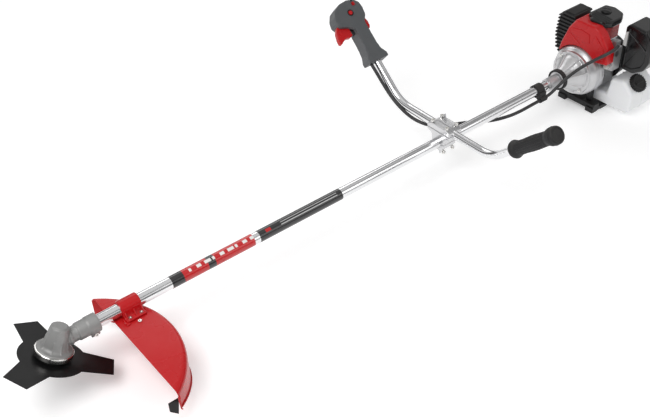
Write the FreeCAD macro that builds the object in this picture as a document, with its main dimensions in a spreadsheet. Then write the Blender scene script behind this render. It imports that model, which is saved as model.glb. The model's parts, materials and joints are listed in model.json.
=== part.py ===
import FreeCAD, Part
import math
import os
import re
import Sketcher

# Petrol brush cutter, in millimetres. The engine stands on the floor at the origin, the straight
# shaft tube lies level along X with the cutting head at its -X end, and +Z is up.

SIZES = {
    # shaft tube and its drive shaft
    "axis_height": 122, "tube_length": 1482, "tube_radius": 14, "tube_wall": 1.5,
    "tube_rear": 120, "clip_place": 228, "clip_width": 24, "drive_radius": 3.5,
    "bush_length": 14, "run_gap": 0.05, "part_gap": 0.3,
    # cutting head: its output axis leans back by head_angle
    "head_reach": 48, "head_angle": 26.5, "case_rim_radius": 40, "case_rim_thick": 11,
    "case_foot_radius": 33, "case_waist_radius": 25, "case_top_radius": 17, "case_top": 42,
    "case_drop": 26, "socket_radius": 18, "socket_end": 70, "collar_radius": 21, "collar_end": 93,
    "output_radius": 5, "gear_radius": 14.9, "pinion_radius": 11.2, "cavity_radius": 17.5,
    "bearing_radius": 13, "bearing_width": 8,
    # blade and what holds it
    "blade_radius": 127.5, "blade_hub": 69.5, "blade_thick": 1.6, "blade_bore": 12.7,
    "blade_depth": 34, "tip_half_angle": 12.2, "root_half_angle": 30, "cup_radius": 27,
    "nut_across": 19,
    # guard
    "guard_back": 165, "guard_arc": 208, "guard_centre_ahead": 158, "guard_centre_side": 85,
    "guard_chord": 123, "guard_top": 14.5, "guard_heel": 10, "guard_wall": 3, "guard_fall": 20,
    "bracket_length": 46, "bracket_wall": 5, "bracket_width": 68, "knife_length": 42, "knife_thick": 2.5,
    # labels
    "band_thick": 0.3, "first_band_start": 218, "first_band_length": 214,
    "second_band_start": 447, "second_band_length": 237,
    # handlebar and its clamp
    "clamp_place": 578, "clamp_length": 44, "clamp_width": 78, "bar_height": 33,
    "bar_radius": 11, "bar_wall": 1.5, "bar_split": 0.3, "bar_corner": 163, "bar_bend": 95,
    "arm_angle": 41.5,
    "arm_length": 205, "grip_start": 86, "grip_length": 152, "grip_radius": 17,
    "grip_flange": 21.5, "throttle_start": 119, "throttle_length": 181, "shell_half": 19,
    "trigger_half": 6,
    # engine front
    "sleeve_front": 192, "sleeve_radius": 17.5, "neck_front": 150, "neck_ring_radius": 29,
    "neck_radius": 24, "clutch_flange": 62, "flange_place": 83, "fan_radius": 72,
    "fan_rear": 45, "drum_radius": 38, "drum_wall": 2, "shoe_radius": 34.5,
    "flywheel_radius": 55, "crank_radius": 7.5,
    # crankcase, cylinder and covers
    "case_rear": 46, "case_half_width": 44, "case_floor": 56, "case_roof": 48,
    "bore_radius": 20, "fin_half": 39, "fin_thick": 2.2, "fin_pitch": 8.5, "cylinder_top": 122,
    "cover_front": 74, "cover_depth": 112, "cover_wall": 2.5, "muffler_depth": 74,
    "starter_radius": 62, "starter_depth": 46, "reel_radius": 42,
    # fuel, air and stand
    "tank_front": 10, "tank_depth": 106, "tank_left": 150, "tank_right": 66,
    "cap_radius": 26, "filter_front": 3, "filter_depth": 70, "stand_half": 62, "foot_high": 14,
    "stand_front": 47, "stand_depth": 152,
}

doc = FreeCAD.newDocument("brush_cutter")
sheet = doc.addObject("Spreadsheet::Sheet", "Sizes")
for row, (alias, number) in enumerate(SIZES.items(), start=1):
    sheet.set(f"A{row}", alias.replace("_", " "))
    sheet.set(f"B{row}", str(number))
    sheet.setAlias(f"B{row}", alias)
doc.recompute()

# Rotations that carry a piece's own Z axis to where it points on the machine.
UP = FreeCAD.Rotation()
FLIPPED = FreeCAD.Rotation(FreeCAD.Vector(1, 0, 0), 180)
FORWARD = FreeCAD.Rotation(FreeCAD.Vector(0, 1, 0), -90)
BACK = FreeCAD.Rotation(FreeCAD.Vector(1, 1, 1), 120)
LEFT = FreeCAD.Rotation(FreeCAD.Vector(1, 0, 0), 90)
RIGHT = FreeCAD.Rotation(FreeCAD.Vector(1, 0, 0), -90)
TILTED = FreeCAD.Rotation(FreeCAD.Vector(1, 0, 0), 43.3)
LEANING = FreeCAD.Rotation(FreeCAD.Vector(0, 1, 0), sheet.head_angle)
FALLING = FreeCAD.Rotation(FreeCAD.Vector(1, 0, 0), -sheet.guard_fall)
FACE = FreeCAD.Rotation(FreeCAD.Vector(1, 0, 0), sheet.arm_angle)
LEFT_ARM = FreeCAD.Rotation(FreeCAD.Vector(1, 0, 0), 90 - sheet.arm_angle)
RIGHT_ARM = FreeCAD.Rotation(FreeCAD.Vector(-1, 0, 0), 90 - sheet.arm_angle)

TUBE_FRONT = "(-tube_rear - tube_length)"
HEAD = "(-tube_rear - tube_length - head_reach)"
AXIS = "axis_height"
CLAMP = "(-clamp_place)"
BAR = "(axis_height + bar_height)"

nodes = []


def bind(text):
    """Turn the size names in an expression into references to the sheet's cells."""
    return re.sub(r"[a-z]+(?:_[a-z]+)+", r"Sizes.\g<0>", str(text))


def place(thing, where, rotation=UP):
    """Put a piece at three expressions, turned by a rotation."""
    thing.Placement = FreeCAD.Placement(FreeCAD.Vector(), rotation)
    for axis, text in zip("xyz", where):
        thing.setExpression(f"Placement.Base.{axis}", bind(text))
    return thing


def keep(thing, label):
    """Name a finished sub-part, which becomes a node of its own."""
    thing.Label = label
    nodes.append(thing)
    return thing


def cylinder(radius, length, where=(0, 0, 0), rotation=UP):
    thing = doc.addObject("Part::Cylinder", "Rod")
    thing.setExpression("Radius", bind(radius))
    thing.setExpression("Height", bind(length))
    return place(thing, where, rotation)


def block(size, corner):
    thing = doc.addObject("Part::Box", "Block")
    for side, text in zip(("Length", "Width", "Height"), size):
        thing.setExpression(side, bind(text))
    return place(thing, corner)


def fuse(pieces):
    thing = doc.addObject("Part::MultiFuse", "Union")
    thing.Shapes = pieces
    return thing


def cut(base, tools):
    thing = doc.addObject("Part::Cut", "Carved")
    thing.Base = base
    thing.Tool = tools[0] if len(tools) == 1 else fuse(tools)
    return thing


def group(pieces):
    thing = doc.addObject("Part::Compound", "Set")
    thing.Links = pieces
    return thing


def new_body():
    return doc.addObject("PartDesign::Body", "Body")


def outline(body, role, corners):
    """A closed sketch through corners, each held by two dimensions bound to the sheet."""
    sketch = body.newObject("Sketcher::SketchObject", "Outline")
    plane = next(f for f in body.Origin.OriginFeatures if f.Role == role)
    sketch.AttachmentSupport = (plane, [""])
    sketch.MapMode = "FlatFace"
    count = len(corners)
    rough = [FreeCAD.Vector(math.cos(2 * math.pi * i / count), math.sin(2 * math.pi * i / count), 0)
             for i in range(count)]
    for i in range(count):
        sketch.addGeometry(Part.LineSegment(rough[i], rough[(i + 1) % count]))
    for i in range(count):
        sketch.addConstraint(Sketcher.Constraint("Coincident", i, 2, (i + 1) % count, 1))
    for i, corner in enumerate(corners):
        for kind, text, start in zip(("DistanceX", "DistanceY"), corner, rough[i]):
            number = sketch.addConstraint(Sketcher.Constraint(kind, -1, 1, i, 1, start))
            sketch.setExpression(f"Constraints[{number}]", bind(text))
    return sketch


def disc_sketch(body, role, radius, centre=("0", "0")):
    sketch = body.newObject("Sketcher::SketchObject", "Circle")
    plane = next(f for f in body.Origin.OriginFeatures if f.Role == role)
    sketch.AttachmentSupport = (plane, [""])
    sketch.MapMode = "FlatFace"
    sketch.addGeometry(Part.Circle(FreeCAD.Vector(1, 1, 0), FreeCAD.Vector(0, 0, 1), 1))
    for kind, text in zip(("DistanceX", "DistanceY"), centre):
        number = sketch.addConstraint(Sketcher.Constraint(kind, -1, 1, 0, 3, 1))
        sketch.setExpression(f"Constraints[{number}]", bind(text))
    number = sketch.addConstraint(Sketcher.Constraint("Radius", 0, 1))
    sketch.setExpression(f"Constraints[{number}]", bind(radius))
    return sketch


def lathe(profile, where=(0, 0, 0), rotation=UP):
    """Turn a profile of (radius, height) corners about the piece's own Z axis."""
    body = new_body()
    turned = body.newObject("PartDesign::Revolution", "Turned")
    sketch = outline(body, "XZ_Plane", profile)
    turned.Profile = sketch
    turned.ReferenceAxis = (sketch, ["V_Axis"])
    turned.Angle = 360
    body.Tip = turned
    return place(body, where, rotation)


def ring(inner, outer, length, where, rotation=UP):
    return lathe([(inner, 0), (outer, 0), (outer, length), (inner, length)], where, rotation)


def plate(corners, thick, where=(0, 0, 0), rotation=UP, role="XY_Plane", rounding=None,
          symmetric=False, reverse=False):
    """Pad an outline, and round the edges that run along the pad if a radius is given."""
    body = new_body()
    pad = body.newObject("PartDesign::Pad", "Plate")
    pad.Profile = outline(body, role, corners)
    pad.setExpression("Length", bind(thick))
    pad.SideType = "Symmetric" if symmetric else "One side"
    pad.Reversed = reverse
    body.Tip = pad
    if rounding:
        doc.recompute()
        along = pad.Profile[0].getGlobalPlacement().Rotation.multVec(FreeCAD.Vector(0, 0, 1))
        fillet = body.newObject("PartDesign::Fillet", "Rounding")
        names = [f"Edge{i}" for i, edge in enumerate(pad.Shape.Edges, start=1)
                 if edge.tangentAt(edge.FirstParameter).cross(along).Length < 0.01]
        fillet.Base = (pad, names)
        fillet.setExpression("Radius", bind(rounding))
        body.Tip = fillet
    return place(body, where, rotation)


def hexagon(across):
    half = f"({across} / 2)"
    point = f"({across} / 1.7320508)"
    return [(point, 0), (f"{point} / 2", half), (f"-{point} / 2", half), (f"-{point}", 0),
            (f"-{point} / 2", f"-{half}"), (f"{point} / 2", f"-{half}")]


def screw(radius, length, where, rotation=UP):
    """A cap screw: its head stands on the piece's origin and its shank goes down from there."""
    return lathe([(0, f"-{length}"), (f"{radius}", f"-{length}"), (f"{radius}", 0),
                  (f"{radius} * 1.8", 0), (f"{radius} * 1.8", f"{radius} * 1.6"),
                  (f"{radius} * 0.9", f"{radius} * 1.6"), (f"{radius} * 0.9", f"{radius} * 0.7"),
                  (0, f"{radius} * 0.7")], where, rotation)


def screw_hole(radius, length, where, rotation=UP):
    """The clearance hole for a screw's shank, running down from the screw's origin."""
    hole = cylinder(f"{radius} + run_gap", f"{length} + 0.2", where, rotation)
    hole.Placement = hole.Placement * FreeCAD.Placement(FreeCAD.Vector(), FLIPPED)
    return hole


def shape_part(shape, label):
    thing = doc.addObject("Part::Feature", label)
    thing.Shape = shape
    return keep(thing, label)


def sweep_tube(points, radius, bends, hollow=0):
    """A round tube along straight runs joined by tangent arcs of the given bend radii."""
    points = [FreeCAD.Vector(*p) for p in points]
    edges = []
    start = points[0]
    for i in range(1, len(points) - 1):
        back = (points[i - 1] - points[i]).normalize()
        ahead = (points[i + 1] - points[i]).normalize()
        half_turn = (math.pi - back.getAngle(ahead)) / 2
        reach = bends[i - 1] * math.tan(half_turn)
        first = points[i] + back * reach
        last = points[i] + ahead * reach
        inward = (back + ahead).normalize()
        centre = points[i] + inward * (bends[i - 1] / math.cos(half_turn))
        middle = centre - inward * bends[i - 1]
        edges.append(Part.LineSegment(start, first).toShape())
        edges.append(Part.Arc(first, middle, last).toShape())
        start = last
    edges.append(Part.LineSegment(start, points[-1]).toShape())
    wire = Part.Wire(edges)
    direction = points[1] - points[0]
    rim = Part.Wire(Part.makeCircle(radius, points[0], direction))
    solid = wire.makePipeShell([rim], True, False)
    if hollow:
        bore = Part.Wire(Part.makeCircle(hollow, points[0], direction))
        solid = solid.cut(wire.makePipeShell([bore], True, False))
    return solid, wire.Length


# ---------------------------------------------------------------- blade and cutter spindle

def cutting_blade():
    body = new_body()
    hub = body.newObject("PartDesign::Pad", "Hub")
    hub.Profile = disc_sketch(body, "XY_Plane", "blade_hub")
    hub.setExpression("Length", bind("blade_thick"))
    tooth = body.newObject("PartDesign::Pad", "Tooth")
    foot = "blade_hub * cos(root_half_angle)"
    foot_side = "blade_hub * sin(root_half_angle)"
    tip = "blade_radius * cos(tip_half_angle)"
    tip_side = "blade_radius * sin(tip_half_angle)"
    tooth.Profile = outline(body, "XY_Plane", [
        (f"-{foot_side}", "blade_bore + 10"), (f"-{foot_side}", foot), (f"-{tip_side}", tip),
        (tip_side, tip), (foot_side, foot), (foot_side, "blade_bore + 10")])
    tooth.setExpression("Length", bind("blade_thick"))
    doc.recompute()
    teeth = body.newObject("PartDesign::PolarPattern", "Teeth")
    teeth.Originals = [tooth]
    teeth.Axis = (hub.Profile[0], ["N_Axis"])
    teeth.Angle = 360
    teeth.Occurrences = 3
    body.Tip = teeth
    doc.recompute()
    bore = body.newObject("PartDesign::Pocket", "Bore")
    bore.Profile = disc_sketch(body, "XY_Plane", "blade_bore + run_gap")
    bore.Type = "ThroughAll"
    bore.Reversed = True
    body.Tip = bore
    return keep(body, "cutting_blade")


def cutter_spindle():
    seat = "(-blade_depth)"
    here = (HEAD, 0, AXIS)
    place(cutting_blade(), (f"{HEAD} - blade_depth * sin(head_angle)", 0,
                            "axis_height - blade_depth * cos(head_angle)"), LEANING)
    flange = lathe([("output_radius + run_gap", f"{seat} + 10.8"), ("output_radius + run_gap", f"{seat} - 0.2"),
                    ("blade_bore", f"{seat} - 0.2"), ("blade_bore", f"{seat} + blade_thick + 0.05"),
                    ("cup_radius", f"{seat} + blade_thick + 0.05"), ("cup_radius", f"{seat} + 6.5"),
                    ("output_radius + 3.5", f"{seat} + 6.5"), ("output_radius + 3.5", f"{seat} + 10.8")],
                   here, LEANING)
    keep(flange, "blade_flange")
    cup = lathe([("output_radius + run_gap", f"{seat} - 0.3"), ("cup_radius", f"{seat} - 0.05"),
                 ("cup_radius", f"{seat} - 3"), ("cup_radius - 6", f"{seat} - 8"),
                 ("cup_radius - 12", f"{seat} - 8"), ("cup_radius - 12", f"{seat} - 5"),
                 ("output_radius + run_gap", f"{seat} - 5")], here, LEANING)
    keep(cup, "blade_cup")
    nut = plate(hexagon("nut_across"), 8, (f"{HEAD} - (blade_depth + 13.1) * sin(head_angle)", 0,
                                           "axis_height - (blade_depth + 13.1) * cos(head_angle)"), LEANING)
    nut_bore = cylinder("output_radius + run_gap", "60", (f"{HEAD} - (blade_depth + 30) * sin(head_angle)",
                        0, "axis_height - (blade_depth + 30) * cos(head_angle)"), LEANING)
    keep(cut(nut, [nut_bore]), "blade_nut")
    shaft = lathe([(0, f"{seat} - 15"), ("output_radius", f"{seat} - 15"),
                   ("output_radius", 32), (0, 32)], here, LEANING)
    keep(shaft, "output_shaft")
    gear = lathe([("output_radius + run_gap", 12.5), ("gear_radius - 5.6", 12.5),
                  ("gear_radius", 20), ("gear_radius - 1.5", 22.5), ("output_radius + run_gap", 22.5)],
                 here, LEANING)
    keep(gear, "bevel_gear")


# ---------------------------------------------------------------- gear case

def gear_case():
    here = (HEAD, 0, AXIS)
    dome = lathe([(0, "-case_drop + case_rim_thick"), ("case_rim_radius - 1", "-case_drop + case_rim_thick"),
                  ("case_foot_radius", "-case_drop + case_rim_thick + 5"), ("case_waist_radius", -3),
                  ("case_waist_radius - 2", 12), ("case_top_radius + 1", "case_top - 6"),
                  ("case_top_radius - 4", "case_top"), (0, "case_top")], here, LEANING)
    socket = cylinder("socket_radius", "socket_end", here, BACK)
    collar = cylinder("collar_radius", "collar_end - socket_end", (f"{HEAD} + socket_end", 0, AXIS), BACK)
    lug = block(("collar_end - socket_end", 14, 12),
                (f"{HEAD} + socket_end", -7, "axis_height - collar_radius - 9"))
    cavity = cylinder("cavity_radius", "case_top - 4.5", (f"{HEAD} - 14 * sin(head_angle)", 0,
                      "axis_height - 14 * cos(head_angle)"), LEANING)
    lower_seat = cylinder("bearing_radius + run_gap", "40", (f"{HEAD} - 30 * sin(head_angle)", 0,
                          "axis_height - 30 * cos(head_angle)"), LEANING)
    upper_seat = cylinder("bearing_radius - 4 + run_gap", "case_top - 8", here, LEANING)
    shaft_way = cylinder("bearing_radius + run_gap", "head_reach", here, BACK)
    tube_way = cylinder("tube_radius + run_gap", "collar_end", (f"{HEAD} + head_reach - 0.2", 0, AXIS), BACK)
    slit = block(("collar_end - socket_end + 2", 2.4, "collar_radius"),
                 (f"{HEAD} + socket_end", -1.2, "axis_height - collar_radius - 10"))
    pinch_spot = (f"{HEAD} + (socket_end + collar_end) / 2", -7, "axis_height - collar_radius - 3")
    pinch = screw_hole(2.5, 14, pinch_spot, LEFT)
    plug_spot = (f"{HEAD} - 5", "case_waist_radius - 2.5", AXIS)
    plug_way = cylinder(5.9, 10, plug_spot, RIGHT)
    case = cut(fuse([dome, socket, collar, lug]),
               [cavity, lower_seat, upper_seat, shaft_way, tube_way, slit, pinch, plug_way])
    keep(case, "gear_case")
    rim = lathe([("bearing_radius + run_gap", "-case_drop + case_rim_thick - 0.1"),
                 ("case_rim_radius - 1.5", "-case_drop + case_rim_thick - 0.1"),
                 ("case_rim_radius", "-case_drop + case_rim_thick - 2"), ("case_rim_radius", "-case_drop + 1.5"),
                 ("case_rim_radius - 1.5", "-case_drop"), ("output_radius + 4", "-case_drop"),
                 ("output_radius + 4", "-case_drop + 1.5"), ("bearing_radius + run_gap", "-case_drop + 1.5")],
                here, LEANING)
    keep(rim, "gear_case_rim")
    return [screw(2.5, 14, pinch_spot, LEFT), plate(hexagon("10"), 4, plug_spot, RIGHT)]


def drive_line():
    pinion = lathe([("drive_radius + run_gap", 15.2), ("pinion_radius - 4", 15.2),
                    ("pinion_radius", 22.8), ("pinion_radius - 1", 25), ("drive_radius + run_gap", 25)],
                   (HEAD, 0, AXIS), BACK)
    keep(pinion, "bevel_pinion")
    shaft = cylinder("drive_radius", "tube_length + head_reach - 15 + 34", (f"{HEAD} + 15", 0, AXIS), BACK)
    keep(shaft, "drive_shaft")
    drum = lathe([("drive_radius + run_gap", 0), (10, 0), (10, 4), ("drum_radius", 4),
                  ("drum_radius", 26), ("drum_radius - drum_wall", 26), ("drum_radius - drum_wall", 6),
                  (10, 6), (10, 10), ("drive_radius + run_gap", 10)],
                 ("-tube_rear + 22", 0, AXIS), BACK)
    keep(drum, "clutch_drum")


def main_tube():
    tube = ring("tube_radius - tube_wall", "tube_radius", "tube_length", (TUBE_FRONT, 0, AXIS), BACK)
    keep(tube, "main_tube")
    spacing = "(tube_length / 5)"
    bushes = [ring("drive_radius + run_gap", "tube_radius - tube_wall - 0.02", "bush_length",
                   (f"{TUBE_FRONT} + {spacing} * {i}", 0, AXIS), BACK) for i in range(1, 5)]
    keep(group(bushes), "shaft_bushes")
    bands = [ring("tube_radius + 0.02", "tube_radius + band_thick", f"{name}_length",
                  (f"{TUBE_FRONT} + {name}_start", 0, AXIS), BACK) for name in ("first_band", "second_band")]
    keep(group(bands), "label_bands")


def ball_bearings():
    """Each bearing is one ring, from the shaft's running clearance to its seat."""
    def bearing(inner, outer, where, rotation):
        return ring(f"{inner} + run_gap", outer, "bearing_width", where, rotation)
    lower = bearing("output_radius", "bearing_radius", (f"{HEAD} - 23 * sin(head_angle)", 0,
                    "axis_height - 23 * cos(head_angle)"), LEANING)
    upper = bearing("output_radius", "bearing_radius - 4", (f"{HEAD} + 24 * sin(head_angle)", 0,
                    "axis_height + 24 * cos(head_angle)"), LEANING)
    pinion = bearing("drive_radius", "bearing_radius", (f"{HEAD} + 27", 0, AXIS), BACK)
    drum = bearing("drive_radius", "bearing_radius - 3", ("-tube_rear + 10", 0, AXIS), BACK)
    front = bearing("crank_radius", "bearing_radius + 3", (-36, 0, AXIS), BACK)
    rear = bearing("crank_radius", "bearing_radius + 3", (36, 0, AXIS), BACK)
    keep(group([lower, upper, pinion, drum, front, rear]), "ball_bearings")


# ---------------------------------------------------------------- guard

def guard_block(inset, top, height):
    """A slab over the guard's plan: a straight front edge and a round back."""
    drum = cylinder(f"guard_arc - {inset}", height, (f"{HEAD} + guard_back - guard_centre_ahead",
                    "-guard_centre_side", f"{top} - {height}"))
    front = block(("guard_arc * 2", "guard_arc * 2.2", f"{height} + 2"),
                  (f"{HEAD} + guard_chord", "-guard_centre_side - guard_arc * 1.1", f"{top} - {height} - 1"))
    both = doc.addObject("Part::Common", "Segment")
    both.Base = drum
    both.Tool = front
    return both


def guard():
    top = "(axis_height - guard_top)"
    shell = guard_block(0, top, top)
    hollow = guard_block("guard_wall", f"({top} - guard_wall)", "axis_height")
    reach = "guard_arc"
    deep = "axis_height"
    heel = f"{HEAD} + guard_back - guard_centre_ahead + guard_arc - guard_heel"
    below = block((reach, "guard_arc * 2.2", deep),
                  (f"{heel} - {reach} * cos(head_angle) - {deep} * sin(head_angle)",
                   "-guard_centre_side - guard_arc * 1.1",
                   f"{reach} * sin(head_angle) - {deep} * cos(head_angle)"))
    below.Placement.Rotation = LEANING
    outer = "guard_arc * 1.5"
    aside = block(("guard_arc * 2.4", outer, deep),
                  (f"{HEAD} + guard_back - guard_centre_ahead - guard_arc * 1.2",
                   f"-guard_centre_side - {outer} * cos(guard_fall) - {deep} * sin(guard_fall)",
                   f"{outer} * sin(guard_fall) - {deep} * cos(guard_fall)"))
    aside.Placement.Rotation = FALLING
    hole = screw_hole(2.2, 4, guard_screw_spots()[-1])
    keep(cut(shell, [hollow, below, aside, hole]), "guard")


def guard_screw_spots():
    """Two screws each side of the tube in the bracket, and one in the guard beside it."""
    start = f"{HEAD} + guard_back - bracket_length / 2"
    heads = "axis_height - guard_top + bracket_wall"
    spots = [(f"{start} + {ahead}", f"{side} * (bracket_width / 2 - 6)", heads)
             for ahead in ("10", "bracket_length - 10") for side in (-1, 1)]
    return spots + [(f"{start} + bracket_length / 2", "-bracket_width / 2 - 10", "axis_height - guard_top")]


def guard_fittings():
    top = "(axis_height - guard_top)"
    start = f"{HEAD} + guard_back - bracket_length / 2"
    spots = guard_screw_spots()
    saddle = cylinder("tube_radius + bracket_wall", "bracket_length", (start, 0, AXIS), BACK)
    flange = block(("bracket_length", "bracket_width", "bracket_wall"), (start, "-bracket_width / 2", top))
    under = block(("bracket_length + 2", 90, 40), (f"{start} - 1", -45, f"{top} - 40"))
    way = cylinder("tube_radius + run_gap", "bracket_length + 2", (f"{start} - 1", 0, AXIS), BACK)
    holes = [screw_hole(2.2, 4, spot) for spot in spots[:4]]
    keep(cut(fuse([saddle, flange]), [under, way] + holes), "guard_bracket")
    knife_top = "(axis_height - 40)"
    knife_back = f"{HEAD} + guard_chord + 6"
    blade = plate([(0, 0), (0, "knife_length * 0.55"), ("knife_length * 0.4", "knife_length"),
                   ("knife_length * 0.55", 0)], "knife_thick",
                  (f"{knife_back} - knife_length * 0.55", "-guard_centre_side - guard_arc * 0.77",
                   f"{knife_top} - knife_length * 0.1"), RIGHT)
    keep(blade, "line_knife")
    screws = [screw(2.2, 4, spot) for spot in spots]
    keep(group(screws), "guard_screws")


# ---------------------------------------------------------------- handlebar

def handlebar():
    for side, name in ((-1, "left"), (1, "right")):
        angle = math.radians(sheet.arm_angle)
        height = sheet.axis_height + sheet.bar_height
        end_y = sheet.bar_corner + sheet.arm_length * math.cos(angle)
        end_z = height + sheet.arm_length * math.sin(angle)
        points = [(-sheet.clamp_place, side * sheet.bar_split, height),
                  (-sheet.clamp_place, side * sheet.bar_corner, height),
                  (-sheet.clamp_place, side * end_y, end_z)]
        tube, _ = sweep_tube(points, sheet.bar_radius, [sheet.bar_bend], sheet.bar_radius - sheet.bar_wall)
        shape_part(tube, f"handlebar_{name}")


def handlebar_clamp():
    start = f"{CLAMP} - clamp_length / 2"
    tube_way = cylinder("tube_radius + run_gap", "clamp_length + 2", (f"{start} - 1", 0, AXIS), BACK)
    bar_way = cylinder("bar_radius + run_gap", "clamp_width + 2", (CLAMP, "clamp_width / 2 + 1", BAR), LEFT)
    narrow = "(tube_radius + 7)"
    top = f"{BAR} + bar_radius + 6 + part_gap"
    spots = [(f"{CLAMP} + {ahead} * (clamp_length / 2 - 6.5)", f"{side} * (clamp_width / 2 - 14)")
             for ahead in (-1, 1) for side in (-1, 1)]
    upper_spots = [(x, y, top) for x, y in spots]
    lower_spots = [(x, f"({y}) * 0.7", f"axis_height - {narrow}") for x, y in spots]
    lower = block(("clamp_length", f"{narrow} * 2", f"{narrow} - part_gap"),
                  (start, f"-{narrow}", f"axis_height - {narrow}"))
    lower_holes = [screw_hole(2.8, 4, spot, FLIPPED) for spot in lower_spots]
    keep(cut(lower, [tube_way] + lower_holes), "clamp_base")
    saddle = block(("clamp_length", f"{narrow} * 2", "bar_height - part_gap * 2"),
                   (start, f"-{narrow}", "axis_height + part_gap"))
    shelf = block(("clamp_length", "clamp_width", 9),
                  (start, "-clamp_width / 2", f"{BAR} - part_gap - 9"))
    upper_way = cylinder("tube_radius + run_gap", "clamp_length + 2", (f"{start} - 1", 0, AXIS), BACK)
    keep(cut(fuse([saddle, shelf]), [upper_way, bar_way]), "clamp_saddle")
    cap = plate([("-clamp_width / 2", 0), ("clamp_width / 2", 0), ("clamp_width / 2", 9),
                 ("clamp_width / 2 - 8", "bar_radius + 6"), ("-clamp_width / 2 + 8", "bar_radius + 6"),
                 ("-clamp_width / 2", 9)], "clamp_length", (start, 0, f"{BAR} + part_gap"), BACK)
    cap_way = cylinder("bar_radius + run_gap", "clamp_width + 2", (CLAMP, "clamp_width / 2 + 1", BAR), LEFT)
    keep(cut(cap, [cap_way] + [screw_hole(2.8, 4, spot) for spot in upper_spots]), "clamp_cap")
    screws = [screw(2.8, 4, spot) for spot in upper_spots]
    screws += [screw(2.8, 4, spot, FLIPPED) for spot in lower_spots]
    keep(group(screws), "clamp_screws")


def arm_point(side, along):
    """A point on a handlebar arm's axis, at a distance along it from the bend's corner."""
    return (CLAMP, f"{side} * (bar_corner + ({along}) * cos(arm_angle))",
            f"{BAR} + ({along}) * sin(arm_angle)")


def left_grip():
    grip = lathe([("bar_radius + run_gap", 0), ("grip_flange - 2", 0), ("grip_flange", 3),
                  ("grip_flange", 12), ("grip_radius", 22), ("grip_radius", "grip_length - 34"),
                  ("grip_flange", "grip_length - 20"), ("grip_flange", "grip_length - 6"),
                  ("grip_flange - 4", "grip_length"), (0, "grip_length"),
                  (0, "arm_length - grip_start + 0.2"),
                  ("bar_radius + run_gap", "arm_length - grip_start + 0.2")],
                 arm_point(-1, "grip_start"), LEFT_ARM)
    keep(grip, "left_grip")


def throttle():
    """The right grip: two half shells along the arm, with the trigger on the front side."""
    here = arm_point(1, "throttle_start")
    side = [(-30, 4), (-30, 14), (-20, 30), (-17, 50), (-17, 112), (-30, 128), (-33, 150),
            (-30, 166), (-18, 177), (4, "throttle_length"), (28, 178), (48, 168), (60, 150),
            (64, 134), (58, 120), (34, 112), (21, 104), (23, 50), (26, 30), (33, 14), (33, 4)]
    side = [(f"-({x})", z) for x, z in side]
    slot = [(-36, 92), (34, 92), (34, 100), (70, 100), (70, 118), (58, 118), (58, 134), (-36, 134)]
    slot = [(f"-({x})", z) for x, z in slot]
    for name, reverse in (("left", False), ("right", True)):
        shell = plate(side, "shell_half", here, RIGHT_ARM, role="XZ_Plane", reverse=reverse)
        shell_slot = plate(slot, "trigger_half + part_gap", here, RIGHT_ARM, role="XZ_Plane",
                           reverse=reverse)
        tube_way = cylinder("bar_radius + run_gap", "arm_length - throttle_start + 0.2", here, RIGHT_ARM)
        tools = [shell_slot, tube_way]
        if name == "left":
            tools += [switch_slot(), cylinder(6.3, 14, control_point("button", "-10"), FACE)]
        keep(cut(shell, tools), f"throttle_shell_{name}")


def control_point(spot, lift):
    """A point on the throttle's inner face, where a control stands out by lift."""
    behind, along = {"switch": (11, 169), "button": (-10, 146)}[spot]
    out = f"(shell_half + {lift})"
    _, y, z = arm_point(1, f"throttle_start + {along}")
    return (f"{CLAMP} + {behind}", f"{y} - {out} * sin(arm_angle)", f"{z} + {out} * cos(arm_angle)")


def block_on_face(size, spot, lift, back):
    """A block on the throttle's face, starting back from the control's point along the arm."""
    x, y, z = control_point(spot, lift)
    thing = block(size, (f"{x} - {size[0]} / 2", f"{y} - {back} * cos(arm_angle)",
                         f"{z} - {back} * sin(arm_angle)"))
    thing.Placement.Rotation = FACE
    return thing


def switch_slot():
    return block_on_face((7.6, 16, 10), "switch", "-5.5", 8)


def throttle_controls():
    trigger = [(38, 130), (50, 130), (57, 121), (64, 102), (63, 84), (56, 89), (48, 101), (37, 112)]
    lockout = [(-9, 131), (-19, 131), (-21, 112), (-26, 96), (-19, 94), (-14, 112)]
    for label, corners in (("throttle_trigger", trigger), ("lockout_lever", lockout)):
        corners = [(f"-({x})", z) for x, z in corners]
        lever = plate(corners, "trigger_half * 2", arm_point(1, "throttle_start"), RIGHT_ARM,
                      role="XZ_Plane", symmetric=True)
        keep(lever, label)
    keep(block_on_face((7, 9, 7.5), "switch", "-5", 7.5), "stop_switch")
    keep(cylinder(6, 9, control_point("button", "-6.5"), FACE), "lock_button")


CABLE_RADIUS = 4.5
CABLE_ROUTE = [
    (-598, 254.6, 236.1), (-597, 240, 223), (-593, 214, 193), (-591, 178, 163), (-592, 132, 146),
    (-592, 88, 141), (-574, 54, 134), (-538, 44, 124), (-492, 33, 115), (-446, 25, 105),
    (-402, 3, 98), (-356, -18, 103), (-316, -25, 106.5), (-275, -21.6, 104.3), (-204, -21.2, 104.2),
    (-178, -30, 130), (-146, -39, 154), (-112, -52, 174), (-92, -74, 196), (-84, -96, 216),
    (-66, -108, 228), (-46, -104, 232)]


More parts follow.
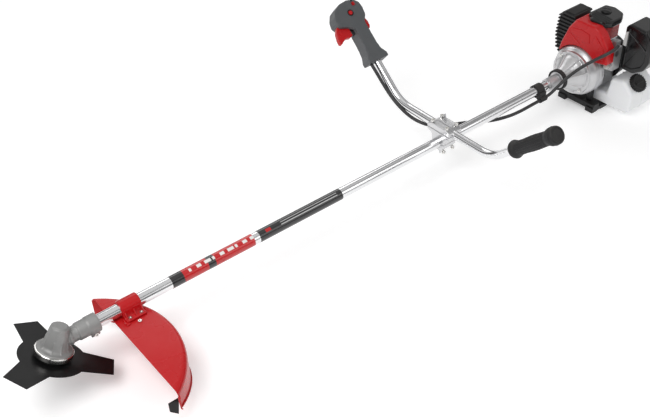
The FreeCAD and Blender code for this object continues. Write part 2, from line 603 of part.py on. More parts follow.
def control_cable():
    """The throttle cable and stop wires in one conduit, held by the handlebar, a clip and the engine."""
    bends = []
    for before, corner, after in zip(CABLE_ROUTE, CABLE_ROUTE[1:], CABLE_ROUTE[2:]):
        back = FreeCAD.Vector(*before) - FreeCAD.Vector(*corner)
        ahead = FreeCAD.Vector(*after) - FreeCAD.Vector(*corner)
        half_turn = (math.pi - back.getAngle(ahead)) / 2
        bends.append(0.45 * min(back.Length, ahead.Length) / math.tan(half_turn))
    tube, length = sweep_tube(CABLE_ROUTE, CABLE_RADIUS, bends)
    shape_part(tube, "control_cable")
    print("control cable bend radii:", [round(bend) for bend in bends])
    print("control cable length:", round(length), "volume over section times length:",
          round(tube.Volume / (math.pi * CABLE_RADIUS ** 2 * length), 4))


def cable_clip():
    width = "clip_width"
    start = "-clip_place - clip_width / 2"
    collar = cylinder("tube_radius + 3.5", width, (start, 0, AXIS), BACK)
    lobe = cylinder(CABLE_RADIUS + 3, width, (start, -21, "axis_height - 18"), BACK)
    web = block((width, 12, 20), (start, -22, "axis_height - 18"))
    tube_way = cylinder("tube_radius + run_gap", f"{width} + 2", (f"{start} - 1", 0, AXIS), BACK)
    cable_way = cylinder(CABLE_RADIUS + 0.6, f"{width} + 2", (f"{start} - 1", -21.3, "axis_height - 17.8"), BACK)
    keep(cut(fuse([collar, lobe, web]), [tube_way, cable_way]), "cable_clip")


# ---------------------------------------------------------------- engine front: clutch and fan

def clutch_and_fan():
    sleeve = ring("tube_radius + run_gap", "sleeve_radius", "sleeve_front - neck_front - 1",
                  ("-sleeve_front", 0, AXIS), BACK)
    keep(sleeve, "tube_sleeve")
    band = ring("neck_radius + 0.1", "neck_ring_radius", 11, ("-neck_front", 0, AXIS), BACK)
    keep(band, "neck_ring")
    front = "-neck_front"
    housing = lathe([("tube_radius + run_gap", front), ("neck_radius", front), ("neck_radius", f"{front} + 12"),
                     ("neck_radius + 10", f"{front} + 24"), ("clutch_flange - 3", "-flange_place - 8"),
                     ("clutch_flange", "-flange_place - 8"), ("clutch_flange", "-flange_place"),
                     ("fan_radius", "-flange_place + 14"), ("fan_radius", "-fan_rear"),
                     ("flywheel_radius + 3", "-fan_rear"), ("flywheel_radius + 3", "-flange_place + 12"),
                     ("drum_radius + 3", "-flange_place + 12"), ("drum_radius + 3", "-tube_rear + 21"),
                     ("bearing_radius - 3", "-tube_rear + 21"), ("bearing_radius - 3", "-tube_rear + 0.3"),
                     ("tube_radius + run_gap", "-tube_rear + 0.3")], (0, 0, AXIS), BACK)
    spots = [("-flange_place - 8", f"(clutch_flange - 7) * cos({angle})",
              f"axis_height + (clutch_flange - 7) * sin({angle})") for angle in (45, 135, 225, 315)]
    recesses = [cylinder(5.2, 20, spot, FORWARD) for spot in spots]
    keep(cut(housing, recesses + [screw_hole(2.5, 8, spot, FORWARD) for spot in spots]), "clutch_housing")
    bolts = [screw(2.5, 8, spot, FORWARD) for spot in spots]
    shoes = []
    inner = 16
    for side in (0, 1):
        half = ring(inner, "shoe_radius", 16, ("-tube_rear + 30.5", 0, AXIS), BACK)
        away = block((20, "shoe_radius * 2 + 4", "shoe_radius + 2"),
                     ("-tube_rear + 29", "-shoe_radius - 2",
                      "axis_height - 3" if side else "axis_height - shoe_radius + 1"))
        pin = cylinder(4, 30, ("-tube_rear + 32", 0, f"axis_height + {24 * (1 - 2 * side)}"), BACK)
        shoes.append(fuse([cut(half, [away]), pin]))
    keep(group(shoes), "clutch_shoes")
    web = "-flange_place + 16"
    wheel = lathe([("crank_radius + run_gap", f"{web} - 4"), (15, f"{web} - 4"), (15, web),
                   ("flywheel_radius", web), ("flywheel_radius", f"{web} + 16"),
                   ("flywheel_radius - 8", f"{web} + 16"), ("flywheel_radius - 8", f"{web} + 5"),
                   ("crank_radius + run_gap", f"{web} + 5")], (0, 0, AXIS), BACK)
    pin_ways = [cylinder("4 + run_gap", 30, (f"{web} - 6", 0, f"axis_height + {24 * side}"), BACK)
                for side in (1, -1)]
    keep(cut(wheel, pin_ways), "flywheel")
    return bolts


# ---------------------------------------------------------------- crankcase and cylinder

def above(number):
    """A height measured from the crank's axis."""
    return f"(axis_height + ({number}))"


def crankcase():
    front = "-fan_rear + part_gap"
    disc = cylinder("fan_radius", 5, (front, 0, AXIS), BACK)
    body = block(("case_rear + fan_rear - part_gap", "case_half_width * 2", "case_floor + case_roof"),
                 (front, "-case_half_width", above("-case_floor")))
    crank_room = cylinder("38", "44", (-20, 0, AXIS), BACK)
    shaft_way = cylinder("bearing_radius + 3.02", 90, (-36, 0, AXIS), BACK)
    front_way = cylinder("crank_radius + 2", 60, ("-fan_rear - 10", 0, AXIS), BACK)
    rod_way = cylinder("bore_radius", 60, (2, 0, above(20)))
    keep(cut(fuse([disc, body]), [crank_room, shaft_way, front_way, rod_way]), "crankcase")
    shaft = lathe([(0, -80), ("crank_radius", -80), ("crank_radius", -14), (32, -14), (32, -4),
                   ("crank_radius + 2", -4), ("crank_radius + 2", 8), (32, 8), (32, 18),
                   ("crank_radius", 18), ("crank_radius", 62), (0, 62)], (0, 0, AXIS), BACK)
    keep(shaft, "crankshaft")


def cylinder_and_piston():
    foot = "case_roof + 0.1"
    barrel = cylinder("bore_radius + 5", f"cylinder_top - ({foot})", (2, 0, above(foot)))
    flange = block((62, 62, 6), (-29, -31, above(foot)))
    fins = [block(("fin_half * 2", "fin_half * 2", "fin_thick"),
                  ("2 - fin_half", "-fin_half", above(f"{foot} + 14 + fin_pitch * {i}"))) for i in range(7)]
    bore = cylinder("bore_radius", f"cylinder_top - ({foot}) - 9", (2, 0, above(f"{foot} - 1")))
    plug_way = cylinder(5.1, 20, (2, 0, above("cylinder_top - 12")))
    port = block((18, 24, 14), (-7, "-fin_half - 8", above("case_roof + 20")))
    outlet = block((18, 24, 14), (-7, "fin_half - 16", above("case_roof + 20")))
    keep(cut(fuse([barrel, flange, port, outlet] + fins), [bore, plug_way]), "cylinder")
    piston = ring("bore_radius - 4", "bore_radius - run_gap", 26, (2, 0, above("case_roof + 30")))
    crown = cylinder("bore_radius - run_gap", 4, (2, 0, above("case_roof + 56")))
    keep(fuse([piston, crown]), "piston")
    plug = lathe([(0, "cylinder_top - 8"), (5, "cylinder_top - 8"), (5, "cylinder_top + 0.1"),
                  (9, "cylinder_top + 0.1"), (9, "cylinder_top + 6"), (5.5, "cylinder_top + 6"),
                  (4.5, "cylinder_top + 22"), (0, "cylinder_top + 22")], (2, 0, AXIS))
    keep(plug, "spark_plug")
    boot = lathe([(5.6, "cylinder_top + 8"), (10, "cylinder_top + 8"), (12, "cylinder_top + 20"),
                  (11, "cylinder_top + 31"), (7, "cylinder_top + 35"), (0, "cylinder_top + 35"),
                  (0, "cylinder_top + 22.3"), (5.6, "cylinder_top + 22.3")], (2, 0, AXIS))
    keep(boot, "plug_boot")


def engine_cover():
    """The shroud in front of and over the cylinder: a shallow front and a deeper middle."""
    arch = [(f"(fan_radius + 1.5) * cos({angle})", f"(fan_radius + 1.5) * sin({angle})")
            for angle in (42, 62, 82, 102, 122, 138)]
    face = [(66, 36)] + arch + [(-98, 56), (-94, 100), (-66, 136), (-44, 150), (18, 150), (40, 120), (60, 66)]
    shelf = [(42, 76), (42, 118), (22, 148), (-40, 148), (-44, 140), (-44, 76)]
    front = "-cover_front"
    outer = plate(face, 28, (front, 0, AXIS), BACK)
    deep = plate(shelf, "cover_depth", (front, 0, AXIS), BACK)
    inner_face = [(62, 38)] + [(f"(fan_radius - 3) * cos({angle})", f"(fan_radius - 3) * sin({angle})")
                               for angle in (42, 62, 82, 102, 122, 138)]
    inner_face += [(-95, 59), (-91, 99), (-64, 133), (-43, 147), (17, 147), (37.5, 119), (57, 66)]
    room = plate(inner_face, 40, (f"{front} + cover_wall", 0, AXIS), BACK)
    inner_shelf = [(39.5, 40), (39.5, 117), (20.5, 145.5), (-38.5, 145.5), (-41.5, 139), (-41.5, 40)]
    deep_room = plate(inner_shelf, "cover_depth + 4", (f"{front} + cover_wall", 0, AXIS), BACK)
    boot_way = cylinder(14, 60, (2, 0, above("cylinder_top - 4")))
    port_way = block((22, 120, 18), (-9, -60, above("case_roof + 18")))
    keep(cut(fuse([outer, deep]), [room, deep_room, boot_way, port_way]), "engine_cover")


def exhaust():
    body = block(("muffler_depth - 14", 38, 82), (-31, "fin_half + 8.3", above(30)))
    pipe = cylinder(7, 14, (16, "fin_half + 40", above(48)), RIGHT)
    keep(fuse([body, pipe]), "muffler")
    half = "muffler_depth / 2"
    face = [(45.5, 12), (43, 112), (56, 138), (86, 140), (108, 118), (113, 60), (106, 14), (84, 2)]
    inner = [(40, 15), (40, 110), (57, 135), (85, 137), (105, 117), (110, 60), (103, 16), (83, 5)]
    shell = plate(face, "muffler_depth", (f"-{half} + 1", 0, AXIS), BACK)
    room = plate(inner, "muffler_depth - 6", (f"-{half} + 4", 0, AXIS), BACK)
    slots = [block((60, 12, 3), ("-30", 101, above(24 + 11 * i))) for i in range(8)]
    open_side = block(("muffler_depth - 6", 12, 90), (f"-{half} + 4", 36, above(20)))
    keep(cut(shell, [room, open_side] + slots), "muffler_guard")


def starter():
    front = "(case_rear + part_gap)"
    bowl = lathe([("starter_radius - 3", 0), ("starter_radius + 3", 0), ("starter_radius + 3", 4),
                  ("starter_radius", 4), ("starter_radius - 2", "starter_depth - 8"),
                  ("starter_radius - 14", "starter_depth"), (0, "starter_depth"),
                  (0, "starter_depth - 3"), (6, "starter_depth - 3"), (6, 24), (9, 24),
                  (9, "starter_depth - 3"), ("starter_radius - 16", "starter_depth - 3"),
                  ("starter_radius - 5", "starter_depth - 10")],
                 (front, 0, AXIS), BACK)
    slits = [block((14, 3, 26), (f"{front} + starter_depth - 8", 12 * i - 1.5, above(-44 if i % 2 else 18)))
             for i in (-2, -1, 0, 1, 2)]
    reel = lathe([(9.05, 0), ("reel_radius", 0), ("reel_radius", 3), ("reel_radius - 9", 3),
                  ("reel_radius - 9", 9), ("reel_radius", 9), ("reel_radius", 12), (9.05, 12)],
                 (f"{front} + 25", 0, AXIS), BACK)
    keep(reel, "starter_reel")
    eye = lathe([(2.6, -4), (5, -4), (5, 0), (7, 0), (7, 3), (4, 5), (2.6, 5)],
                (f"{front} + 24", "-(starter_radius - 0.5) * cos(50)", above("(starter_radius - 0.5) * sin(50)")),
                FreeCAD.Rotation(FreeCAD.Vector(1, 0, 0), 40))
    keep(fuse([cut(bowl, slits), eye]), "starter_housing")


# ---------------------------------------------------------------- fuel, air and stand

def carburettor():
    body = block((32, 44, 66), (-38, "-fin_half - 53", above(24)))
    throat = cylinder(9, 60, (-25, "-fin_half - 8.3", above(74)), LEFT)
    top = block((20, 12, 22), (-38, "-fin_half - 53", above(90)))
    lever_way = cylinder("2.5 + run_gap", 12, (-20, "-fin_half - 35", above(80)))
    seat = ring(9.4, 12, 3.2, (-38, "-fin_half - 39", above(36)), FORWARD)
    keep(fuse([cut(fuse([body, top]), [throat, lever_way]), seat]), "carburettor")
    pin = cylinder(2.5, 13, (-20, "-fin_half - 35", above(80.3)))
    arm = block((20, 8, 2.5), (-24, "-fin_half - 39", above(91)))
    keep(fuse([pin, arm]), "throttle_lever")
    bulb = lathe([(0, 0), (9, 0), (9, 2), (8, 6), (5, 9.5), (0, 11)], (-41.3, "-fin_half - 39", above(36)), FORWARD)
    keep(bulb, "primer_bulb")


def air_filter():
    front = "filter_front"
    outline_corners = [(-86, 22), (-86, 142), (-98, 154), (-150, 150), (-168, 130), (-172, 62),
                       (-160, 36), (-128, 16), (-94, 16)]
    inner = [(-83, 24), (-83, 141), (-98, 151), (-149, 147), (-165, 129), (-169, 63), (-158, 38), (-127, 19), (-94, 19)]
    shell = plate(outline_corners, "filter_depth", (front, 0, AXIS), BACK)
    room = plate(inner, "filter_depth", (f"{front} + 3", 0, AXIS), BACK)
    mouth = cylinder(10, 30, (20, -70, above(74)), LEFT)
    pivot = cylinder(3.05, 9, (f"{front} - 3", -93, above(96)), BACK)
    keep(cut(shell, [room, mouth, pivot]), "air_filter_cover")
    keep(plate(inner, 3, (f"{front} + filter_depth - 3", 0, AXIS), BACK), "air_filter_base")
    lever = plate([(-2, -6), (8, -6), (8, 4), (4, 34), (-2, 36)], 3, (f"{front} - 4.3", -96, above(96)), BACK)
    pin = cylinder(3, 7, (f"{front} - 4.3", -93, above(96)), BACK)
    keep(fuse([lever, pin]), "choke_lever")


def fuel_tank():
    front = "-tank_front"
    low = [("tank_right", -104), ("tank_right", -68), ("-starter_radius - 6", -68), ("-starter_radius - 14", -16),
           ("-tank_left + 34", -8), ("-tank_left", -40), ("-tank_left", -92), ("-tank_left + 12", -104)]
    body = plate(low, "tank_depth", (front, 0, AXIS), BACK, rounding=5)
    neck = lathe([(0, -4), ("cap_radius - 8", -4), ("cap_radius - 8", 9), (0, 9)],
                 (f"{front} + tank_depth * 0.38", "-tank_left + 18", above(-25)), TILTED)
    keep(fuse([body, neck]), "fuel_tank")
    cap = lathe([("cap_radius - 7.9", 2), ("cap_radius", 2), ("cap_radius", 13), ("cap_radius - 2", 15),
                 (0, 15), (0, 9.4), ("cap_radius - 7.9", 9.4)],
                (f"{front} + tank_depth * 0.38", "-tank_left + 18", above(-25)), TILTED)
    keep(cap, "fuel_cap")


def engine_stand():
    front = "-stand_front"
    bar = block((24, "stand_half * 2", 16), (front, "-stand_half", "foot_high - 6"))
    feet = [block((22, 26, "foot_high"), (f"{front} - 3", y, 0)) for y in ("-stand_half", "stand_half - 26")]
    legs = [block((12, 14, "axis_height - case_floor - 10.3"), (f"{front} + 13", y, 10))
            for y in ("-38", "24")]
    rails = [block(("stand_depth", 12, 9), (front, y, 2)) for y in ("-stand_half", "stand_half - 12")]
    rear = block((12, "stand_half * 2", "foot_high"), (f"{front} + stand_depth - 12", "-stand_half", 0))
    middle = block((24, "stand_half * 2", 8), (-12, "-stand_half", 0))
    keep(fuse([bar] + feet + legs + rails + [rear, middle]), "engine_stand")


def main():
    cutter_spindle()
    case_screws = gear_case()
    drive_line()
    main_tube()
    ball_bearings()
    guard()
    guard_fittings()
    handlebar()
    handlebar_clamp()
    left_grip()
    throttle()
    throttle_controls()
    control_cable()
    cable_clip()
    housing_screws = clutch_and_fan()
    keep(group(case_screws + housing_screws), "case_screws")
    crankcase()
    cylinder_and_piston()
    engine_cover()
    exhaust()
    starter()
    carburettor()
    air_filter()
    fuel_tank()
    engine_stand()
    doc.recompute()
    for thing in doc.Objects:
        if {"Invalid", "Error"} & set(thing.State):
            raise RuntimeError(f"{thing.Label} failed: {thing.State}")
    os.makedirs("parts", exist_ok=True)
    for thing in nodes:
        if thing.Shape.isNull() or not thing.Shape.isValid() or thing.Shape.Volume <= 0:
            raise RuntimeError(f"{thing.Label} has no valid shape")
        thing.Shape.exportStep(f"parts/{thing.Label}.step")
    print(len(nodes), "nodes written")


main()
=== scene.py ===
import json
import math

import bmesh
import bpy
from bpy.props import FloatProperty, FloatVectorProperty, IntProperty, PointerProperty
from mathutils import Matrix, Vector


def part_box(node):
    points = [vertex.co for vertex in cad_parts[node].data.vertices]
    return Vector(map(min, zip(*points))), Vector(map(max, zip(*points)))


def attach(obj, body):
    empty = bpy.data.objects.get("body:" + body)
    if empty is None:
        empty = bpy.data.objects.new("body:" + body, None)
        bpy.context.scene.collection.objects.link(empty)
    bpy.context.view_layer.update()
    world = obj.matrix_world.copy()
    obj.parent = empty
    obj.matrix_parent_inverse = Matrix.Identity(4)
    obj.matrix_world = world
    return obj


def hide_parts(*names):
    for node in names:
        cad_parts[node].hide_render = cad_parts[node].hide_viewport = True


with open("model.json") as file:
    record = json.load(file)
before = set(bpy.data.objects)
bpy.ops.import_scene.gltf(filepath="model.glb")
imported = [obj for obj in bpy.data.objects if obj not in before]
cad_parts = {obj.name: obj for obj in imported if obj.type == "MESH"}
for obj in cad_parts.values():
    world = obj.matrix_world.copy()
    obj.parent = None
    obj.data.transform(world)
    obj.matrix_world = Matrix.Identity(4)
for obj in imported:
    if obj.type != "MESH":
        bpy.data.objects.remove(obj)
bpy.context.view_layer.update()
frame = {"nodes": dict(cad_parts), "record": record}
NODES = frame["nodes"]

bl_info = {
    "name": "Brush cutter",
    "version": (1, 0, 0),
    "blender": (4, 5, 0),
    "location": "3D View > Sidebar > Brush cutter",
    "description": "Models and finishes a petrol brush cutter round its engineering frame",
    "category": "Object",
}

# ---------------------------------------------------------------- places, from the frame


def middle(node):
    low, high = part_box(node)
    return (low + high) / 2


AXLE_HEIGHT = middle("main_tube").z
HEAD_ANGLE = math.radians(26.5)
SHAFT_MIDDLE_BELOW_AXLE = 0.0085
HEAD_PLACE = middle("output_shaft").x + SHAFT_MIDDLE_BELOW_AXLE * math.sin(HEAD_ANGLE)
CLAMP_PLACE = middle("clamp_cap").x
CLAMP_SPLIT = 0.0003
BAR_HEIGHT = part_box("clamp_cap")[0].z - CLAMP_SPLIT
LEAN = Matrix.Rotation(HEAD_ANGLE, 4, "Y")
UPRIGHT = Matrix.Rotation(math.pi / 2, 4, "X")
BLACK_PRINT = (0.016, 0.016, 0.017)
ALONG_SHAFT = Matrix(((0, 0, 1, 0), (1, 0, 0, 0), (0, 1, 0, 0), (0, 0, 0, 1)))
MM = Matrix.Scale(0.001, 4)


def at(x, y, z, turn=Matrix.Identity(4)):
    """Where a shape drawn in millimetres goes in the frame: a place in metres and a turn."""
    return Matrix.Translation((x, y, z)) @ turn @ MM


HEAD_AT = at(HEAD_PLACE, 0, AXLE_HEIGHT, LEAN)


def on_shaft(x):
    return at(x, 0, AXLE_HEIGHT, ALONG_SHAFT)


# ---------------------------------------------------------------- shaping


def verts_of(geometry):
    return [item for item in geometry if isinstance(item, bmesh.types.BMVert)]


def about_z(angle):
    return Matrix.Rotation(angle, 4, "Z")


def cut_by(shape, place, facing):
    """Cuts off what lies behind a plane and leaves the cut open."""
    bmesh.ops.bisect_plane(shape, geom=shape.verts[:] + shape.edges[:] + shape.faces[:],
                           plane_co=place, plane_no=facing, clear_inner=True)


def turned(profile, steps=64):
    """A closed shape spun round Z from (radius, height) points that start and end on the axis."""
    shape = bmesh.new()
    points = [shape.verts.new((radius, 0, height)) for radius, height in profile]
    edges = [shape.edges.new(pair) for pair in zip(points, points[1:])]
    if profile[0][0] > 0 and profile[0] != profile[-1]:
        edges.append(shape.edges.new((points[-1], points[0])))
    bmesh.ops.spin(shape, geom=points + edges, cent=(0, 0, 0), axis=(0, 0, 1), angle=math.tau,
                   steps=steps, use_merge=True)
    bmesh.ops.remove_doubles(shape, verts=shape.verts, dist=1e-4)
    bmesh.ops.recalc_face_normals(shape, faces=shape.faces)
    return shape


def slab(corners, depth, start=0.0):
    """A plate over an outline in XY, from start to start + depth along Z."""
    shape = bmesh.new()
    face = shape.faces.new([shape.verts.new((x, y, start)) for x, y in corners])
    grown = bmesh.ops.extrude_face_region(shape, geom=[face])["geom"]
    bmesh.ops.translate(shape, vec=(0, 0, depth), verts=verts_of(grown))
    bmesh.ops.recalc_face_normals(shape, faces=shape.faces)
    return shape


def box(low, high):
    """A block between two corners."""
    corners = [(low[0], low[1]), (high[0], low[1]), (high[0], high[1]), (low[0], high[1])]
    return slab(corners, high[2] - low[2], low[2])


def arc(centre, radius, first, last, steps):
    """Points on an arc, from one angle to another in degrees."""
    angles = [math.radians(first + (last - first) * step / steps) for step in range(steps + 1)]
    return [(centre[0] + radius * math.cos(a), centre[1] + radius * math.sin(a)) for a in angles]


def rounded(shape, width, segments=3, sharper_than=25, where=None):
    """Rounds a shape's sharp edges, or only those that pass the test."""
    edges = [e for e in shape.edges if len(e.link_faces) == 2
             and e.calc_face_angle(0) > math.radians(sharper_than) and (where is None or where(e))]
    bmesh.ops.bevel(shape, geom=edges, offset=width, offset_type="OFFSET", segments=segments,
                    profile=0.5, affect="EDGES", clamp_overlap=True, material=-1)
    return shape


def moved(shape, where):
    bmesh.ops.transform(shape, matrix=where, verts=shape.verts)
    return shape


def gathered(shapes):
    """One shape that holds several closed ones."""
    whole = bmesh.new()
    for shape in shapes:
        part = bpy.data.meshes.new("part")
        shape.to_mesh(part)
        shape.free()
        whole.from_mesh(part)
        bpy.data.meshes.remove(part)
    return whole


def copy_of(*nodes):
    """The engineering solids as one welded shape, in metres."""
    shape = bmesh.new()
    for node in nodes:
        shape.from_mesh(NODES[node].data)
    bmesh.ops.remove_doubles(shape, verts=shape.verts, dist=2e-6)
    return shape


def piece(name, shape, finish, body="frame", instead_of=(), crease=38, dense=False):
    """Makes an object of a shape, gives it a finish and lets it ride on its body."""
    for edge in shape.edges:
        edge.smooth = edge.is_manifold and edge.calc_face_angle(0) < math.radians(crease)
    for face in shape.faces:
        face.smooth = True
    mesh = bpy.data.meshes.new(name)
    shape.to_mesh(mesh)
    shape.free()
    thing = bpy.data.objects.new(name, mesh)
    bpy.context.scene.collection.objects.link(thing)
    mesh.materials.append(bpy.data.materials[finish])
    if not dense:
        even = thing.modifiers.new("Even shading", "WEIGHTED_NORMAL")
        even.keep_sharp = True
    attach(thing, body)
    if instead_of:
        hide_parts(*instead_of)
    return thing


def modified(shape, *steps):
    """The shape that a row of modifiers makes of another; each step is a kind and its settings."""
    mesh = bpy.data.meshes.new("work")
    shape.to_mesh(mesh)
    shape.free()
    thing = bpy.data.objects.new("work", mesh)
    bpy.context.scene.collection.objects.link(thing)
    for kind, settings in steps:
        modifier = thing.modifiers.new(kind, kind)
        for name, value in settings.items():
            setattr(modifier, name, value)
    made = bpy.data.meshes.new_from_object(thing.evaluated_get(bpy.context.evaluated_depsgraph_get()))
    result = bmesh.new()
    result.from_mesh(made)
    bpy.data.objects.remove(thing)
    bpy.data.meshes.remove(mesh)
    bpy.data.meshes.remove(made)
    return result


def fused(shape, voxel, passes, factor=0.5):
    """Melts overlapping closed shapes into one skin with soft fillets."""
    return modified(shape, ("REMESH", {"mode": "VOXEL", "voxel_size": voxel}),
                    ("SMOOTH", {"factor": factor, "iterations": passes}))


# ---------------------------------------------------------------- materials


def sockets(group, inputs, outputs):
    for name, default in inputs:
        group.interface.new_socket(name, in_out="INPUT", socket_type="NodeSocketFloat").default_value = default
    for name in outputs:
        group.interface.new_socket(name, in_out="OUTPUT", socket_type="NodeSocketFloat")


def made_in(tree, *kinds):
    """New shader nodes of the kinds named, in order."""
    return [tree.nodes.new("ShaderNode" + kind) for kind in kinds]


def grain_group():
    """Fine surface texture: small cells mixed with noise, as a height."""
    group = bpy.data.node_groups.new("Moulded grain", "ShaderNodeTree")
    sockets(group, [("Size", 900.0), ("Cells", 0.5)], ["Height", "Patch"])
    link = group.links.new
    entry, leave = group.nodes.new("NodeGroupInput"), group.nodes.new("NodeGroupOutput")
    place, noise, cells, blend, broad, slow = made_in(group, "TexCoord", "TexNoise", "TexVoronoi", "Mix",
                                                      "TexNoise", "Math")
    noise.inputs["Detail"].default_value = 3
    broad.inputs["Detail"].default_value = 4
    slow.operation = "MULTIPLY"
    slow.inputs[1].default_value = 0.03
    for texture in (noise, cells, broad):
        link(place.outputs["Object"], texture.inputs["Vector"])
    link(entry.outputs["Size"], noise.inputs["Scale"])
    link(entry.outputs["Size"], cells.inputs["Scale"])
    link(entry.outputs["Size"], slow.inputs[0])
    link(slow.outputs[0], broad.inputs["Scale"])
    link(entry.outputs["Cells"], blend.inputs["Factor"])
    link(noise.outputs["Fac"], blend.inputs["A"])
    link(cells.outputs["Distance"], blend.inputs["B"])
    link(blend.outputs["Result"], leave.inputs["Height"])
    link(broad.outputs["Fac"], leave.inputs["Patch"])
    return group


def marks_group():
    """Handling marks: long thin scratches in two directions, broken up by smudges."""
    group = bpy.data.node_groups.new("Handling marks", "ShaderNodeTree")
    sockets(group, [("Size", 60.0), ("Amount", 0.4)], ["Mask", "Smudge"])
    link = group.links.new
    entry, leave = group.nodes.new("NodeGroupInput"), group.nodes.new("NodeGroupOutput")
    place, both = made_in(group, "TexCoord", "Math")
    both.operation = "MAXIMUM"
    for slot, (stretch, angle) in enumerate((((1, 14, 9), 0.35), ((12, 1, 8), -0.5))):
        mapping, noise, cut = made_in(group, "Mapping", "TexNoise", "MapRange")
        mapping.inputs["Scale"].default_value = stretch
        mapping.inputs["Rotation"].default_value = (angle, 0.2, angle)
        noise.inputs["Detail"].default_value = 6
        cut.inputs["From Min"].default_value = 0.64
        cut.inputs["From Max"].default_value = 0.72
        link(place.outputs["Object"], mapping.inputs["Vector"])
        link(mapping.outputs["Vector"], noise.inputs["Vector"])
        link(entry.outputs["Size"], noise.inputs["Scale"])
        link(noise.outputs["Fac"], cut.inputs["Value"])
        link(cut.outputs["Result"], both.inputs[slot])
    smudge, scaled = made_in(group, "TexNoise", "Math")
    smudge.inputs["Scale"].default_value = 14
    smudge.inputs["Detail"].default_value = 5
    scaled.operation = "MULTIPLY"
    link(place.outputs["Object"], smudge.inputs["Vector"])
    link(both.outputs[0], scaled.inputs[0])
    link(entry.outputs["Amount"], scaled.inputs[1])
    link(scaled.outputs[0], leave.inputs["Mask"])
    link(smudge.outputs["Fac"], leave.inputs["Smudge"])
    return group


def dust_group():
    """Dust that settles in broad patches on what faces up."""
    group = bpy.data.node_groups.new("Settled dust", "ShaderNodeTree")
    sockets(group, [("Amount", 0.1)], ["Mask"])
    link = group.links.new
    entry, leave = group.nodes.new("NodeGroupInput"), group.nodes.new("NodeGroupOutput")
    place, facing, split = made_in(group, "TexCoord", "NewGeometry", "SeparateXYZ")
    patches, up, first, second = made_in(group, "TexNoise", "MapRange", "Math", "Math")
    patches.inputs["Scale"].default_value = 35
    patches.inputs["Detail"].default_value = 6
    up.inputs["From Min"].default_value = 0.2
    first.operation = second.operation = "MULTIPLY"
    link(place.outputs["Object"], patches.inputs["Vector"])
    link(facing.outputs["Normal"], split.inputs["Vector"])
    link(split.outputs["Z"], up.inputs["Value"])
    link(up.outputs["Result"], first.inputs[0])
    link(patches.outputs["Fac"], first.inputs[1])
    link(first.outputs[0], second.inputs[0])
    link(entry.outputs["Amount"], second.inputs[1])
    link(second.outputs[0], leave.inputs["Mask"])
    return group


class Finish:
    """One material: a base colour that drifts a little, grain, marks and dust over a Principled shader."""

    def __init__(self, name, colour, drift=0.75, rough=(0.4, 0.5), metal=0.0, coat=0.0, grain=900.0,
                 cells=0.5, depth=0.02, marks=0.15, marks_size=60.0, mark_colour=None, dust=0.06, specular=0.5):
        self.material = bpy.data.materials.new(name)
        self.material.use_nodes = True
        self.tree = self.material.node_tree
        self.shader = self.tree.nodes["Principled BSDF"]
        self.shader.inputs["Metallic"].default_value = metal
        self.shader.inputs["Coat Weight"].default_value = coat
        self.shader.inputs["Coat Roughness"].default_value = 0.06
        self.shader.inputs["Specular IOR Level"].default_value = specular
        self.material.diffuse_color = (*colour, 1)
        groups = bpy.data.node_groups
        texture = self.group(groups["Moulded grain"], Size=grain, Cells=cells)
        marking = self.group(groups["Handling marks"], Size=marks_size, Amount=marks)
        settled = self.group(groups["Settled dust"], Amount=dust)
        darker = tuple(channel * drift for channel in colour)
        shade = self.mixed(texture.outputs["Patch"], darker, colour)
        worn = self.mixed(marking.outputs["Mask"], shade, mark_colour or tuple(c * 1.5 + 0.03 for c in colour))
        self.colour = self.mixed(settled.outputs["Mask"], worn, (0.42, 0.39, 0.35))
        self.link(self.colour, self.shader.inputs["Base Color"])
        spread, self.bump = made_in(self.tree, "MapRange", "Bump")
        spread.inputs["From Min"].default_value = 0.3
        spread.inputs["From Max"].default_value = 0.7
        spread.inputs["To Min"].default_value, spread.inputs["To Max"].default_value = rough
        self.link(marking.outputs["Smudge"], spread.inputs["Value"])
        self.link(spread.outputs["Result"], self.shader.inputs["Roughness"])
        self.bump.inputs["Distance"].default_value = 0.0006
        self.bump.inputs["Strength"].default_value = depth
        self.link(texture.outputs["Height"], self.bump.inputs["Height"])
        self.link(self.bump.outputs["Normal"], self.shader.inputs["Normal"])

    def link(self, start, end):
        self.tree.links.new(start, end)

    def group(self, group, **values):
        node, = made_in(self.tree, "Group")
        node.node_tree = group
        for name, value in values.items():
            node.inputs[name].default_value = value
        return node

    def mixed(self, factor, first, second):
        """A colour between two, each a plain colour or another node's output."""
        mix, = made_in(self.tree, "Mix")
        mix.data_type = "RGBA"
        ends = {"Factor_Float": factor, "A_Color": first, "B_Color": second}
        for socket in mix.inputs:
            value = ends.get(socket.identifier)
            if isinstance(value, bpy.types.NodeSocket):
                self.link(value, socket)
            elif value is not None and socket.identifier == "Factor_Float":
                socket.default_value = value
            elif value is not None:
                socket.default_value = (*value, 1)
        return next(out for out in mix.outputs if out.identifier == "Result_Color")


def band_mask(finish, across, start, end, soft=0.0004):
    """One where an object coordinate lies between two values in metres."""
    place, split, low, high, both = made_in(finish.tree, "TexCoord", "SeparateXYZ", "MapRange", "MapRange", "Math")
    finish.link(place.outputs["Object"], split.inputs["Vector"])
    for ramp, edge, values in ((low, start, (0, 1)), (high, end, (1, 0))):
        ramp.inputs["From Min"].default_value = edge - soft
        ramp.inputs["From Max"].default_value = edge + soft
        ramp.inputs["To Min"].default_value, ramp.inputs["To Max"].default_value = values
        finish.link(split.outputs[across], ramp.inputs["Value"])
    both.operation = "MULTIPLY"
    finish.link(low.outputs["Result"], both.inputs[0])
    finish.link(high.outputs["Result"], both.inputs[1])
    return both.outputs[0]


def patch_mask(finish, x_range, y_range):
    """One inside a rectangle of object X and Y."""
    both, = made_in(finish.tree, "Math")
    both.operation = "MULTIPLY"
    finish.link(band_mask(finish, "X", *x_range), both.inputs[0])
    finish.link(band_mask(finish, "Y", *y_range), both.inputs[1])
    return both.outputs[0]


